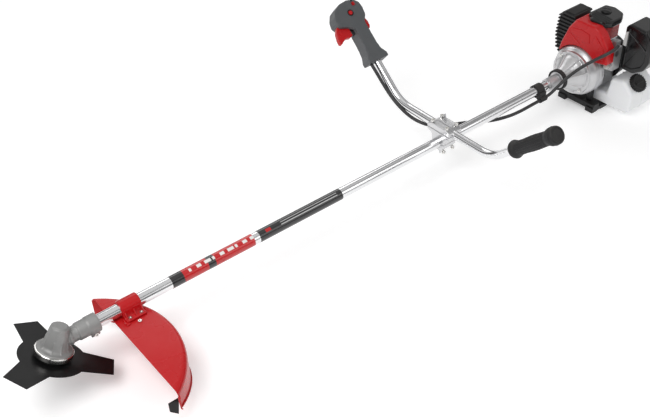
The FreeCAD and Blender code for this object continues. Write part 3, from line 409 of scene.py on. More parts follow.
def paint(finish, mask, colour):
    """Lays another colour over a finish where the mask is one."""
    finish.colour = finish.mixed(mask, finish.colour, colour)
    finish.link(finish.colour, finish.shader.inputs["Base Color"])


class CutterColours(bpy.types.PropertyGroup):
    red: FloatVectorProperty(name="Red plastic", description="Guard, engine cover and controls",
                             subtype="COLOR", size=3, min=0, max=1, default=(0.5, 0.003, 0.006))
    black: FloatVectorProperty(name="Black plastic", description="Filter cover, stand and starter",
                               subtype="COLOR", size=3, min=0, max=1, default=(0.007, 0.007, 0.0075))
    grey: FloatVectorProperty(name="Grey plastic", description="Throttle grip",
                              subtype="COLOR", size=3, min=0, max=1, default=(0.075, 0.08, 0.086))
    tube: FloatVectorProperty(name="Polished tube", description="Shaft and handlebar tubes",
                              subtype="COLOR", size=3, min=0, max=1, default=(0.82, 0.82, 0.83))
    casting: FloatVectorProperty(name="Grey casting", description="Gear case",
                                 subtype="COLOR", size=3, min=0, max=1, default=(0.33, 0.33, 0.325))
    blade: FloatVectorProperty(name="Blade paint", description="Cutting blade",
                               subtype="COLOR", size=3, min=0, max=1, default=(0.004, 0.004, 0.0045))
    tank: FloatVectorProperty(name="Tank plastic", description="Fuel tank",
                              subtype="COLOR", size=3, min=0, max=1, default=(0.84, 0.85, 0.86))


class CUTTER_OT_finishes(bpy.types.Operator):
    """Make every material and put it on the engineering nodes"""
    bl_idname = "cutter.finishes"
    bl_label = "Finishes"

    def execute(self, context):
        colours = context.scene.cutter_colours
        for plain in [bpy.data.materials[entry["slot"]] for entry in frame["record"]["materials"]]:
            bpy.data.materials.remove(plain)
        grain_group()
        marks_group()
        dust_group()
        Finish("red_plastic", colours.red, drift=0.86, rough=(0.22, 0.32), coat=0.1, specular=0.28, grain=260,
               cells=0.15, depth=0.05, marks=0.12, mark_colour=(0.72, 0.1, 0.09), dust=0.03)
        Finish("black_plastic", colours.black, rough=(0.3, 0.42), grain=1500, cells=0.7, depth=0.18,
               marks=0.2, mark_colour=(0.03, 0.03, 0.03), dust=0.03, specular=0.35)
        Finish("black_gloss", colours.black, rough=(0.14, 0.26), grain=500, cells=0.4, depth=0.06, marks=0.15,
               mark_colour=(0.03, 0.03, 0.03), coat=0.1, dust=0.02, specular=0.4)
        Finish("grey_plastic", colours.grey, rough=(0.4, 0.52), grain=1300, cells=0.8, depth=0.3, marks=0.2)
        Finish("soft_rubber", (0.014, 0.014, 0.015), rough=(0.48, 0.66), grain=1100, cells=0.6, depth=0.3,
               marks=0.2, dust=0.1, specular=0.35)
        tube = Finish("polished_aluminium", colours.tube, drift=0.93, rough=(0.13, 0.24), metal=1, grain=180,
                      depth=0.012, marks=0.3, marks_size=90, mark_colour=(0.5, 0.5, 0.51), dust=0.02)
        Finish("cast_alloy", colours.casting, drift=0.8, rough=(0.46, 0.6), metal=0.55, grain=700, cells=0.25,
               depth=0.5, marks=0.2, mark_colour=(0.5, 0.5, 0.5))
        Finish("housing_alloy", (0.62, 0.62, 0.63), drift=0.84, rough=(0.26, 0.4), metal=0.85, grain=600,
               cells=0.3, depth=0.35, marks=0.25, mark_colour=(0.45, 0.45, 0.46))
        Finish("clamp_alloy", (0.7, 0.7, 0.71), drift=0.86, rough=(0.2, 0.34), metal=0.95, grain=500,
               cells=0.3, depth=0.25, marks=0.3, mark_colour=(0.4, 0.4, 0.4))
        Finish("bright_steel", (0.72, 0.71, 0.69), drift=0.9, rough=(0.14, 0.26), metal=1, grain=900,
               depth=0.05, marks=0.4, marks_size=140, mark_colour=(0.42, 0.42, 0.42), dust=0.02)
        Finish("dark_steel", (0.2, 0.2, 0.2), rough=(0.35, 0.5), metal=1, grain=700, depth=0.15, marks=0.3)
        Finish("black_blade", colours.blade, rough=(0.3, 0.4), grain=800, cells=0.3, depth=0.1, marks=0.12,
               specular=0.2, mark_colour=(0.04, 0.04, 0.04), dust=0.01)
        tank = Finish("tank_plastic", colours.tank, drift=0.95, rough=(0.26, 0.36), grain=500, depth=0.1,
                      marks=0.05, dust=0.02)
        tank.shader.inputs["Subsurface Weight"].default_value = 0.5
        tank.shader.inputs["Subsurface Radius"].default_value = (0.02, 0.02, 0.022)
        Finish("pale_plastic", (0.7, 0.7, 0.69), rough=(0.3, 0.4), marks=0.1)
        Finish("cable_sheath", (0.022, 0.022, 0.024), rough=(0.4, 0.55), grain=900, depth=0.15, marks=0.15)
        Finish("clear_rubber", (0.5, 0.5, 0.47), rough=(0.15, 0.25), marks=0.05)
        film = Finish("label_film", BLACK_PRINT, rough=(0.16, 0.26), coat=0.4, grain=300, depth=0.02,
                      marks=0.15, dust=0.02)
        low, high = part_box("label_bands")
        length = high.x - low.x
        start = low.x
        paint(film, band_mask(film, "X", start + 0.03, start + 0.472 * length), colours.red)
        paint(film, band_mask(film, "X", start + 0.196 * length, start + 0.236 * length), BLACK_PRINT)
        for tick in range(9):
            x = start + 0.045 + 0.02 * tick
            width = 0.006 + 0.005 * (tick % 3)
            paint(film, patch_mask(film, (x, x + width), (-0.009, -0.002)), (0.78, 0.77, 0.75))
        for row in range(2):
            y = -0.004 - 0.005 * row
            paint(film, patch_mask(film, (start + 0.62 * length, start + 0.97 * length), (y - 0.0012, y)),
                  (0.6, 0.6, 0.6))
        spot = (start + 0.53 * length, start + 0.56 * length)
        paint(film, patch_mask(film, spot, (-0.01, -0.003)), colours.red)
        slots = {entry["node"]: entry["material_slot"] for entry in frame["record"]["subparts"]}
        for name, node in NODES.items():
            node.data.materials.clear()
            node.data.materials.append(bpy.data.materials[slots[name]])
        return {"FINISHED"}


# ---------------------------------------------------------------- cutting head


class BladeSizes(bpy.types.PropertyGroup):
    hub: FloatProperty(name="Hub radius", default=69.5,
                       description="From the middle to the gaps between the teeth, in millimetres")
    reach: FloatProperty(name="Tooth reach", description="From the middle to a tooth's corners, in millimetres",
                         default=127.5)
    thick: FloatProperty(name="Thickness", description="Blade thickness in millimetres", default=1.6)
    edge: FloatProperty(name="Edge", description="Width of the broken edge in millimetres", default=0.5)
    depth: FloatProperty(name="Depth", default=34.0,
                         description="From the shaft line down to the blade, in millimetres")
    teeth: IntProperty(name="Teeth", description="Number of teeth", default=3, min=2, max=8)


class CUTTER_OT_blade(bpy.types.Operator):
    """Model the flat toothed blade"""
    bl_idname = "cutter.blade"
    bl_label = "Blade"

    def execute(self, context):
        sizes = context.scene.cutter_blade
        outline = []
        step = 360 / sizes.teeth
        for tooth in range(sizes.teeth):
            heading = 90 + step * tooth
            outline += arc((0, 0), sizes.hub, heading - step + 30, heading - 30, 14)
            outline += arc((0, 0), sizes.reach, heading - 12.2, heading + 12.2, 1)
        shape = bmesh.new()
        for ring in (outline, arc((0, 0), 12.75, 0, 360, 40)[:-1]):
            points = [shape.verts.new((x, y, 0)) for x, y in ring]
            for first, second in zip(points, points[1:] + points[:1]):
                shape.edges.new((first, second))
        bmesh.ops.triangle_fill(shape, use_beauty=True, edges=shape.edges, normal=(0, 0, 1))
        grown = bmesh.ops.extrude_face_region(shape, geom=shape.faces[:])["geom"]
        bmesh.ops.translate(shape, vec=(0, 0, sizes.thick), verts=verts_of(grown))
        bmesh.ops.dissolve_limit(shape, angle_limit=0.01, verts=shape.verts, edges=shape.edges)
        bmesh.ops.recalc_face_normals(shape, faces=shape.faces)
        rounded(shape, sizes.edge, 2, 60, lambda e: abs(e.verts[0].co.z - e.verts[1].co.z) < 0.1)
        moved(shape, HEAD_AT @ Matrix.Translation((0, 0, -sizes.depth)))
        piece("blade", shape, "black_blade", "cutter", ["cutting_blade"], crease=30)
        return {"FINISHED"}


class CUTTER_OT_gear_case(bpy.types.Operator):
    """Model the cast gear case with its socket and pinch collar"""
    bl_idname = "cutter.gear_case"
    bl_label = "Gear case"

    def execute(self, context):
        dome = turned([(0, -15), (37, -15), (37, -12.4), (35.6, -11), (31, -10), (27.4, -8.4), (25, -4),
                       (23.2, 12), (20.9, 28), (19.6, 35), (18.4, 39.6), (15.6, 40.4), (14.6, 42), (0, 42)], 72)
        ribs = [moved(slab([(16, -10), (31, -10), (26.4, -5), (24.6, 12), (16, 26)], 2.6, -1.3),
                      about_z(math.radians(angle)) @ UPRIGHT)
                for angle in (50, 90, 130, 180, 230, 270, 310)]
        socket = turned([(0, 0), (16.6, 0), (16.6, 24), (18.9, 25.5), (18.9, 31), (17, 32.5), (17, 45),
                         (19.4, 47), (19.4, 68), (20.9, 70), (20.9, 92), (20, 93), (0, 93)], 72)
        webs = [box((-2, 10, 14), (2, 19.6, 46)), box((-2, -19.6, 14), (2, -10, 46))]
        lugs = [box((side, -30, 71.5), (side + 5.4, -16, 91.5)) for side in (-7, 1.6)]
        along = [rounded(lug, 1.5, 2) for lug in lugs]
        shapes = [moved(shape, HEAD_AT) for shape in [dome] + ribs]
        shapes += [moved(shape, on_shaft(HEAD_PLACE)) for shape in [socket] + webs + along]
        case = fused(gathered(shapes), 0.0009, 4)
        piece("gear_case_skin", case, "cast_alloy", "frame", ["gear_case"], 60, True)
        rim = turned([(0, -12.6), (36, -12.6), (38.9, -13.2), (39.8, -14.4), (40, -16), (40, -23.6), (39.4, -25),
                      (38.2, -25.8), (30, -25.9), (29.2, -24.4), (0, -24.4)], 96)
        piece("gear_case_band", moved(rim, HEAD_AT), "bright_steel", "frame", ["gear_case_rim"], crease=28)
        return {"FINISHED"}


# ---------------------------------------------------------------- guard


class GuardSizes(bpy.types.PropertyGroup):
    sheet: FloatProperty(name="Sheet", description="Wall thickness in millimetres", default=2.6)
    shoulder: FloatProperty(name="Shoulder", description="Rounding from the top into the skirt, in millimetres",
                            default=11.0)
    lip: FloatProperty(name="Lip", description="Depth of the turned-down front edge in millimetres", default=7.0)
    reach: FloatProperty(name="Arc radius", default=208.0,
                         description="Radius of the guard's round back in millimetres")
    fall: FloatProperty(name="Fall", default=20.0,
                        description="How fast the skirt shortens to the left, in degrees")


class CUTTER_OT_guard(bpy.types.Operator):
    """Model the domed guard, its bracket and its lip"""
    bl_idname = "cutter.guard"
    bl_label = "Guard"

    def execute(self, context):
        sizes = context.scene.cutter_guard
        low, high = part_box("guard")
        reach = sizes.reach
        top = high.z * 1000
        front = low.x * 1000
        centre_side = -85
        foot = sizes.sheet + 0.4
        shoulder = arc((reach - sizes.shoulder, top - sizes.shoulder), sizes.shoulder, 90, 0, 9)
        shell = bmesh.new()
        profile = [(0, top)] + shoulder + [(reach, 60), (reach, foot)]
        points = [shell.verts.new((radius, 0, height)) for radius, height in profile]
        edges = [shell.edges.new(pair) for pair in zip(points, points[1:])]
        bmesh.ops.spin(shell, geom=points + edges, cent=(0, 0, 0), axis=(0, 0, 1), angle=math.tau,
                       steps=120, use_merge=True)
        bmesh.ops.remove_doubles(shell, verts=shell.verts, dist=1e-4)
        bmesh.ops.translate(shell, vec=(high.x * 1000 - reach, centre_side, 0), verts=shell.verts)
        lean = Vector((math.sin(HEAD_ANGLE), 0, math.cos(HEAD_ANGLE)))
        fall = Vector((0, math.sin(math.radians(sizes.fall)), math.cos(math.radians(sizes.fall))))
        heel = Vector((high.x * 1000 - 10, 0, foot))
        turning = Vector((0, centre_side, foot))
        for place, facing in ((Vector((front, 0, 0)), Vector((1, 0, 0))), (heel, lean), (turning, fall)):
            cut_by(shell, place, facing)
        at_front = [e for e in shell.edges if e.is_boundary and all(abs(v.co.x - front) < 0.2 for v in e.verts)]
        lip = bmesh.ops.extrude_edge_only(shell, edges=at_front)["geom"]
        bmesh.ops.translate(shell, vec=(2, 0, -sizes.lip), verts=verts_of(lip))
        rim = [e for e in shell.edges if e.is_boundary and any(
            all((vert.co - place).dot(facing) < 0.2 for vert in e.verts)
            for place, facing in ((heel, lean), (turning, fall)))]
        bead = bmesh.ops.extrude_edge_only(shell, edges=rim)["geom"]
        for vert in verts_of(bead):
            outward = Vector((vert.co.x - high.x * 1000 + reach, vert.co.y - centre_side, 0)).normalized()
            vert.co += outward * (2.4 if vert.co.y < -120 else 0.6)
        bmesh.ops.recalc_face_normals(shell, faces=shell.faces)
        if sum(face.normal.z * face.calc_area() for face in shell.faces) < 0:
            bmesh.ops.reverse_faces(shell, faces=shell.faces)
        shell = modified(shell, ("SOLIDIFY", {"thickness": sizes.sheet, "offset": -1}))
        moved(shell, MM)
        piece("guard_shell", shell, "red_plastic", "frame", ["guard"], crease=32)
        start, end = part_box("guard_bracket")
        width = (end.x - start.x) * 1000
        side = [(34, -14.5), (34, -9.5), (22, -8)] + arc((0, 0), 19, 0, 180, 16)
        side += [(-22, -8), (-34, -9.5), (-34, -14.5)]
        saddle = rounded(slab(side, width), 2.2, 3)
        ribs = [rounded(slab(corners, 3.2, width * share), 0.8, 2)
                for corners in ([(18, -10), (31, -10), (18, 4)], [(-31, -10), (-18, -10), (-18, 4)])
                for share in (0.06, 0.5, 0.87)]
        tab = rounded(box((-40, -38, -4), (-16, -12, 5)), 1.6, 3)
        bracket = moved(gathered([saddle, tab] + ribs), on_shaft(start.x))
        piece("guard_saddle", bracket, "red_plastic", "frame", ["guard_bracket"], crease=40)
        return {"FINISHED"}


# ---------------------------------------------------------------- handles


class HandleSizes(bpy.types.PropertyGroup):
    rise: FloatProperty(name="Rise", default=41.5,
                        description="Angle of the handlebar's arms above level, in degrees")
    corner: FloatProperty(name="Corner", description="From the shaft out to the bend's corner, in millimetres",
                          default=163.0)
    grip: FloatProperty(name="Grip length", description="Length of the left grip in millimetres", default=152.0)
    ribs: IntProperty(name="Grip ribs", description="Number of long ribs round the left grip", default=20)
    sheath: FloatProperty(name="Sheath radius", description="Radius of the cable's sheath in millimetres", default=4.6)
    ridge: FloatProperty(name="Ridge pitch", description="Distance between the sheath's ridges in millimetres",
                         default=4.5)


def arm_frame(side, along):
    """A place on a handlebar arm's axis with Z along the arm, at a distance past the bend's corner."""
    handle = bpy.context.scene.cutter_handles
    rise = math.radians(handle.rise)
    out = handle.corner + along * math.cos(rise)
    turn = Matrix.Rotation(-side * (math.pi / 2 - rise), 4, "X")
    return at(CLAMP_PLACE, side * out / 1000, BAR_HEIGHT + along * math.sin(rise) / 1000, turn)


class CUTTER_OT_left_grip(bpy.types.Operator):
    """Model the ribbed left grip with its bulged ends"""
    bl_idname = "cutter.left_grip"
    bl_label = "Left grip"

    def execute(self, context):
        handle = context.scene.cutter_handles
        end = handle.grip
        steps = handle.ribs * 4
        grip = turned([(0, -0.5), (13, -0.5), (18.8, 0), (21, 1.6), (21.7, 4), (21.7, 9), (20.6, 12.5),
                       (17.6, 17.5), (16.6, 21), (16.4, 40), (17.6, 66), (17.6, 84), (16.4, end - 42),
                       (16.6, end - 35), (18.4, end - 28),
                       (21.2, end - 21), (21.7, end - 17), (21.7, end - 5), (20.8, end - 1.6), (18.8, end),
                       (16.8, end - 0.4), (15.4, end - 2.4), (6, end - 3.2), (0, end - 3.2)], steps)
        grip.faces.ensure_lookup_table()
        ribs = []
        for face in grip.faces:
            spot = face.calc_center_median()
            lane = int((math.atan2(spot.y, spot.x) % math.tau) / math.tau * steps)
            if lane % 4 < 2 and 21 < spot.z < end - 35 and len(face.verts) == 4:
                ribs.append(face)
        grown = bmesh.ops.extrude_face_region(grip, geom=ribs)["geom"]
        bmesh.ops.delete(grip, geom=ribs, context="FACES")
        for vert in verts_of(grown):
            vert.co += Vector((vert.co.x, vert.co.y, 0)).normalized() * 0.9
        rings = [turned([(16, z - 1), (22.1, z - 1), (22.5, z), (22.1, z + 1), (16, z + 1)], 64)
                 for z in (6.5, end - 11)]
        grip = moved(gathered([grip] + rings), arm_frame(-1, 86))
        piece("left_grip_sleeve", grip, "soft_rubber", "frame", ["left_grip"], crease=30)
        return {"FINISHED"}


class CUTTER_OT_throttle(bpy.types.Operator):
    """Model the throttle grip's body, trigger, lockout and buttons"""
    bl_idname = "cutter.throttle"
    bl_label = "Throttle grip"

    def execute(self, context):
        shells = ["throttle_shell_left", "throttle_shell_right"]
        body = fused(copy_of(*shells), 0.0011, 14, 0.6)
        piece("throttle_body", body, "grey_plastic", "frame", shells, 50, True)
        here = arm_frame(1, 119)
        trigger = slab([(-30, 131), (-50, 131), (-62, 126), (-71, 113), (-76, 96), (-77, 84), (-73, 80), (-67, 84),
                        (-58, 89), (-48, 90), (-40, 88), (-30, 92)], 14, -7)
        lockout = slab([(15, 132), (24, 131), (31, 124), (35, 112), (34, 98), (29, 92), (22, 93), (19, 104),
                        (15, 112)], 11.5, -5.75)
        for name, shape, body_name, node in (("trigger_lever", trigger, "trigger", "throttle_trigger"),
                                             ("lockout_paddle", lockout, "lockout", "lockout_lever")):
            rounded(shape, 2.0, 4, 30)
            grooves = [e for e in shape.edges if e.calc_length() > 9]
            bmesh.ops.subdivide_edges(shape, edges=grooves, cuts=2, use_grid_fill=True)
            piece(name, moved(shape, here @ UPRIGHT), "red_plastic", body_name, [node], crease=45)
        button = middle("lock_button")
        rise = math.radians(context.scene.cutter_handles.rise)
        face = Matrix.Rotation(rise, 4, "X")
        bezel = turned([(6.6, -1.5), (9.4, -1.5), (9.4, 1.2), (8.8, 2.0), (7.4, 2.0), (6.6, 1.2)], 48)
        lift = Vector((0, -math.sin(rise), math.cos(rise))) * 0.00057
        piece("lock_bezel", moved(bezel, at(*(button + lift), face)), "black_plastic", "frame")
        knob = turned([(0, -4), (5.9, -4), (5.9, 2.4), (5.2, 3.6), (3.6, 4.2), (0, 4.0)], 48)
        piece("lock_knob", moved(knob, at(*button, face)), "red_plastic", "throttle_lock", ["lock_button"])
        slider = rounded(box((-3.5, -4.5, -4), (3.5, 4.5, 3.2)), 0.9, 3)
        ridges = [rounded(box((-3.4, y - 0.5, 2.6), (3.4, y + 0.5, 4.0)), 0.3, 2) for y in (-2.6, -0.9, 0.9, 2.6)]
        slider = moved(gathered([slider] + ridges), at(*middle("stop_switch"), face))
        piece("stop_slider", slider, "red_plastic", "ignition_switch", ["stop_switch"])
        return {"FINISHED"}


class CUTTER_OT_clamp(bpy.types.Operator):
    """Model the cast handlebar clamp"""
    bl_idname = "cutter.clamp"
    bl_label = "Handlebar clamp"

    def execute(self, context):
        low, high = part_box("clamp_saddle")
        start, length = low.x, (high.x - low.x) * 1000
        bar = (BAR_HEIGHT - AXLE_HEIGHT) * 1000
        cap = [(39, bar + 0.4), (39, bar + 7), (33, bar + 12), (24, bar + 16.6), (-24, bar + 16.6), (-33, bar + 12),
               (-39, bar + 7), (-39, bar + 0.4)]
        saddle = [(39, bar - 0.3), (39, bar - 8), (27, bar - 11), (21, bar - 18), (21, 0.4), (-21, 0.4),
                  (-21, bar - 18), (-27, bar - 11), (-39, bar - 8), (-39, bar - 0.3)]
        base = [(21, -0.3), (21, -9), (15, -17), (8, -20.8), (-8, -20.8), (-15, -17), (-21, -9), (-21, -0.3)]
        for name, outline, node in (("cap", cap, "clamp_cap"), ("saddle", saddle, "clamp_saddle"),
                                    ("base", base, "clamp_base")):
            shape = rounded(slab(outline, length), 1.8, 3)
            for face in [f for f in shape.faces if f.calc_area() > 500]:
                if abs(face.normal.z) > 0.9 and name != "base":
                    continue
                bmesh.ops.inset_region(shape, faces=[face], thickness=3.2, depth=-1.4)
            extras = []
            if name == "cap":
                ear = slab([(-6, 0), (6, 0), (2, 15), (0, 17), (-2, 15)], 4)
                extras.append(moved(rounded(ear, 1.2, 2), Matrix.Translation((16, bar + 13, length - 7))))
                across, up = [c[0] for c in outline], [c[1] for c in outline]
                extras.append(rounded(box((min(across) * 0.62, min(up) + 1, length / 2 - 1.4),
                                          (max(across) * 0.62, max(up) + 0.9, length / 2 + 1.4)), 0.9, 2))
            if name == "base":
                ear = slab([(-6, 0), (6, 0), (2, -12), (0, -14), (-2, -12)], 4)
                extras.append(moved(rounded(ear, 1.2, 2), Matrix.Translation((-6, -18, 3))))
            piece("clamp_" + name + "_casting", moved(gathered([shape] + extras), on_shaft(start)),
                  "clamp_alloy", "frame", [node], crease=42)
        return {"FINISHED"}


class CUTTER_OT_cable(bpy.types.Operator):
    """Model the corrugated sheath of the throttle cable along its route"""
    bl_idname = "cutter.cable"
    bl_label = "Throttle cable"

    def execute(self, context):
        route = [(-598, 254.6, 236.1), (-597, 240, 223), (-593, 214, 193), (-591, 178, 163), (-592, 132, 146),
                 (-592, 88, 141), (-574, 54, 134), (-538, 44, 124), (-492, 33, 115), (-446, 25, 105),
                 (-402, 3, 98), (-356, -18, 103), (-316, -25, 106.5), (-275, -21.6, 104.3), (-204, -21.2, 104.2),
                 (-178, -30, 130), (-146, -39, 154), (-112, -52, 174), (-92, -74, 196), (-84, -96, 216),
                 (-66, -108, 228), (-46, -104, 232)]
        handle = context.scene.cutter_handles
        sides, groove = 14, 0.35
        line = bpy.data.curves.new("route", "CURVE")
        line.dimensions = "3D"
        spline = line.splines.new("NURBS")
        spline.points.add(len(route) - 1)
        for point, place in zip(spline.points, route):
            point.co = (*place, 1)
        spline.order_u = 3
        spline.use_endpoint_u = True
        spline.resolution_u = 24
        holder = bpy.data.objects.new("route", line)
        context.scene.collection.objects.link(holder)
        read = bpy.data.meshes.new_from_object(holder.evaluated_get(context.evaluated_depsgraph_get()))
        points = [vert.co.copy() for vert in read.vertices]
        bpy.data.objects.remove(holder)
        bpy.data.meshes.remove(read)
        shape = bmesh.new()
        loops, passed, wanted = [], 0.0, 0.0
        turn = (points[1] - points[0]).to_track_quat("Z", "Y")
        stops = [(0.5, 0.0), (0.25, groove), (0.25, groove)]
        for first, second in zip(points, points[1:]):
            step = (second - first).length
            while wanted <= passed + step:
                place = first.lerp(second, (wanted - passed) / step)
                turn = (turn @ Vector((0, 0, 1))).rotation_difference(second - first) @ turn
                share, swell = stops[len(loops) % 3]
                where = Matrix.Translation(place) @ turn.to_matrix().to_4x4()
                loops.append(bmesh.ops.create_circle(shape, segments=sides, matrix=where,
                                                     radius=handle.sheath - groove + swell)["verts"])
                wanted += handle.ridge * share
            passed += step
        for first, second in zip(loops, loops[1:]):
            for k in range(sides):
                shape.faces.new((first[k], first[(k + 1) % sides], second[(k + 1) % sides], second[k]))
        shape.faces.new(loops[0][::-1])
        shape.faces.new(loops[-1])
        bmesh.ops.recalc_face_normals(shape, faces=shape.faces)
        piece("cable_conduit", moved(shape, MM), "cable_sheath", "frame", ["control_cable"], 60, True)
        return {"FINISHED"}


# ---------------------------------------------------------------- engine


class EngineSizes(bpy.types.PropertyGroup):
    webs: IntProperty(name="Housing webs", description="Number of webs along the clutch housing", default=8)
    fins: IntProperty(name="Guard fins", description="Number of fins round the muffler guard", default=12)
    knurls: IntProperty(name="Cap ribs", description="Number of ribs round the fuel cap", default=22)
    spokes: IntProperty(name="Starter spokes", description="Number of spokes in the starter's cover", default=12)
    radius: FloatProperty(name="Cover rounding", description="Rounding of the engine cover's edges in millimetres",
                          default=5.0)


class CUTTER_OT_housing(bpy.types.Operator):
    """Model the clutch housing, its neck and the ribbed sleeve"""
    bl_idname = "cutter.housing"
    bl_label = "Clutch housing"

    def execute(self, context):
        webs = context.scene.cutter_engine.webs
        bell = turned([(0, -150), (22.6, -150), (24, -148.8), (24, -140), (25.6, -138.6), (29, -130), (35, -119),
                       (42, -109), (48, -101), (51.5, -94), (52, -91.5), (61, -91.5), (62, -90.5), (62, -84),
                       (63, -83), (66.5, -79), (69.6, -75), (70.8, -72), (71.9, -70.5), (72, -58),
                       (71.2, -57), (71.2, -54), (72, -53), (72, -45), (0, -45)], 96)
        shapes = [bell]
        for number in range(webs):
            web = slab([(23, -146), (26.5, -140), (33, -128), (46, -110), (55, -97), (59, -90), (50, -88),
                        (23, -120)], 2.6, -1.3)
            shapes.append(moved(web, about_z(math.tau * (number + 0.5) / webs) @ UPRIGHT))
        for angle in (45, 135, 225, 315):
            boss = turned([(0, -92.4), (7.6, -92.4), (8.2, -91.4), (8.2, -80), (0, -80)], 32)
            turn = math.radians(angle)
            moved(boss, Matrix.Translation((55 * math.cos(turn), 55 * math.sin(turn), 0)))
            shapes.append(boss)
        whole = moved(gathered(shapes), at(0, 0, AXLE_HEIGHT, ALONG_SHAFT))
        piece("clutch_bell", fused(whole, 0.0011, 3), "housing_alloy", "frame", ["clutch_housing"], 60, True)
        low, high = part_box("tube_sleeve")
        start, end = low.x * 1000, high.x * 1000
        ridges = 9
        pitch = (end - start) / ridges
        profile = [(14.1, start)]
        for number in range(ridges):
            begin = start + number * pitch
            profile += [(17.9, begin + 0.15 * pitch), (17.9, begin + 0.6 * pitch), (16.6, begin + 0.72 * pitch),
                        (16.6, begin + 0.98 * pitch)]
        profile.append((14.1, end))
        piece("neck_sleeve", moved(turned(profile, 56), at(0, 0, AXLE_HEIGHT, ALONG_SHAFT)), "housing_alloy",
              "frame", ["tube_sleeve"], crease=30)
        return {"FINISHED"}


class CUTTER_OT_engine_cover(bpy.types.Operator):
    """Model the red engine cover with its raised panels"""
    bl_idname = "cutter.engine_cover"
    bl_label = "Engine cover"

    def execute(self, context):
        low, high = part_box("engine_cover")
        start, depth = low.x * 1000, (high.x - low.x) * 1000
        arch = arc((0, 0), 73.5, 42, 138, 12)
        face = [(66, 36)] + arch
        face += [(-98, 56), (-94, 100), (-66, 136), (-44, 150), (18, 150), (40, 120), (60, 66)]
        shelf = [(42, 84), (42, 118), (22, 148), (-40, 148), (-44, 140), (-44, 84)]
        width = context.scene.cutter_engine.radius
        front = rounded(slab(face, 30, start), width, 5, 24,
                        lambda e: e.calc_length() > 20 or e.verts[0].co.z < start + 1)
        rear = rounded(slab(shelf, depth - 3, start + 3), width, 5, 24)
        panels = []
        for outline in ([(30, 122), (-2, 128), (-30, 124), (-34, 98), (-8, 92), (2, 104), (26, 104)],
                        [(-50, 128), (-80, 100), (-84, 68), (-70, 62), (-56, 84), (-42, 104)],
                        [(48, 92), (40, 112), (16, 96), (-4, 84), (20, 80)]):
            panel = slab(outline, 6, start - 1.6)
            panels.append(rounded(panel, 1.5, 3, 20))
        for x in (start + 42, start + 60, start + 78):
            panels.append(rounded(box((-36, 146.5, x), (16, 150.6, x + 7)), 1.2, 3))
        cover = moved(gathered([front, rear] + panels), at(0, 0, AXLE_HEIGHT, ALONG_SHAFT))
        piece("cover_shell", cover, "red_plastic", "frame", ["engine_cover"], crease=36)
        hood = rounded(slab([(-56, -12), (-50, -44), (-24, -62), (16, -62), (40, -46), (46, -14), (34, 12),
                             (-30, 14)], 20), 6.5, 5, 20)
        bump = turned([(0, 0), (15, 0), (15, 20), (13, 23.6), (8, 25), (0, 25.2)], 40)
        ridge = [rounded(box((-46 + 9 * k, -52, 14), (-42 + 9 * k, 4, 21.6)), 1.6, 3) for k in range(4)]
        plug = gathered([hood, moved(bump, Matrix.Translation((4, -14, 0)))] + ridge)
        top = AXLE_HEIGHT + 0.141
        tilted = Matrix.Rotation(math.radians(5), 4, "X")
        piece("plug_hood", moved(plug, at(0, 0, top, tilted)), "black_gloss", "frame", ["plug_boot"], crease=40)
        return {"FINISHED"}


class CUTTER_OT_muffler_guard(bpy.types.Operator):
    """Model the finned guard over the muffler"""
    bl_idname = "cutter.muffler_guard"
    bl_label = "Muffler guard"

    def execute(self, context):
        fins = context.scene.cutter_engine.fins
        low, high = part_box("muffler_guard")
        start, depth = low.x * 1000, (high.x - low.x) * 1000
        face = [(45.5, 12), (43, 112), (56, 138), (86, 140), (108, 118), (113, 60), (106, 14), (84, 2)]
        inward = ((78, 0.93), (70, 0.95))
        core = [tuple(centre + (value - centre) * share for value, (centre, share) in zip(corner, inward))
                for corner in face]
        shapes = [rounded(slab(core, depth - 8, start + 4), 3, 3)]
        lowest, highest = 6, 138
        pitch = (highest - lowest) / fins
        for number in range(fins):
            base = lowest + pitch * number
            plate = slab(face, depth, start)
            for height, facing in ((base, 1), (base + pitch * 0.46, -1)):
                cut_by(plate, (0, height, 0), (0, facing, 0))
                bmesh.ops.holes_fill(plate, edges=[e for e in plate.edges if e.is_boundary])
            shapes.append(rounded(plate, 1.3, 2, 30))
        guard = moved(gathered(shapes), at(0, 0, AXLE_HEIGHT, ALONG_SHAFT))
        piece("muffler_fins", guard, "black_plastic", "frame", ["muffler_guard"], crease=35)
        return {"FINISHED"}


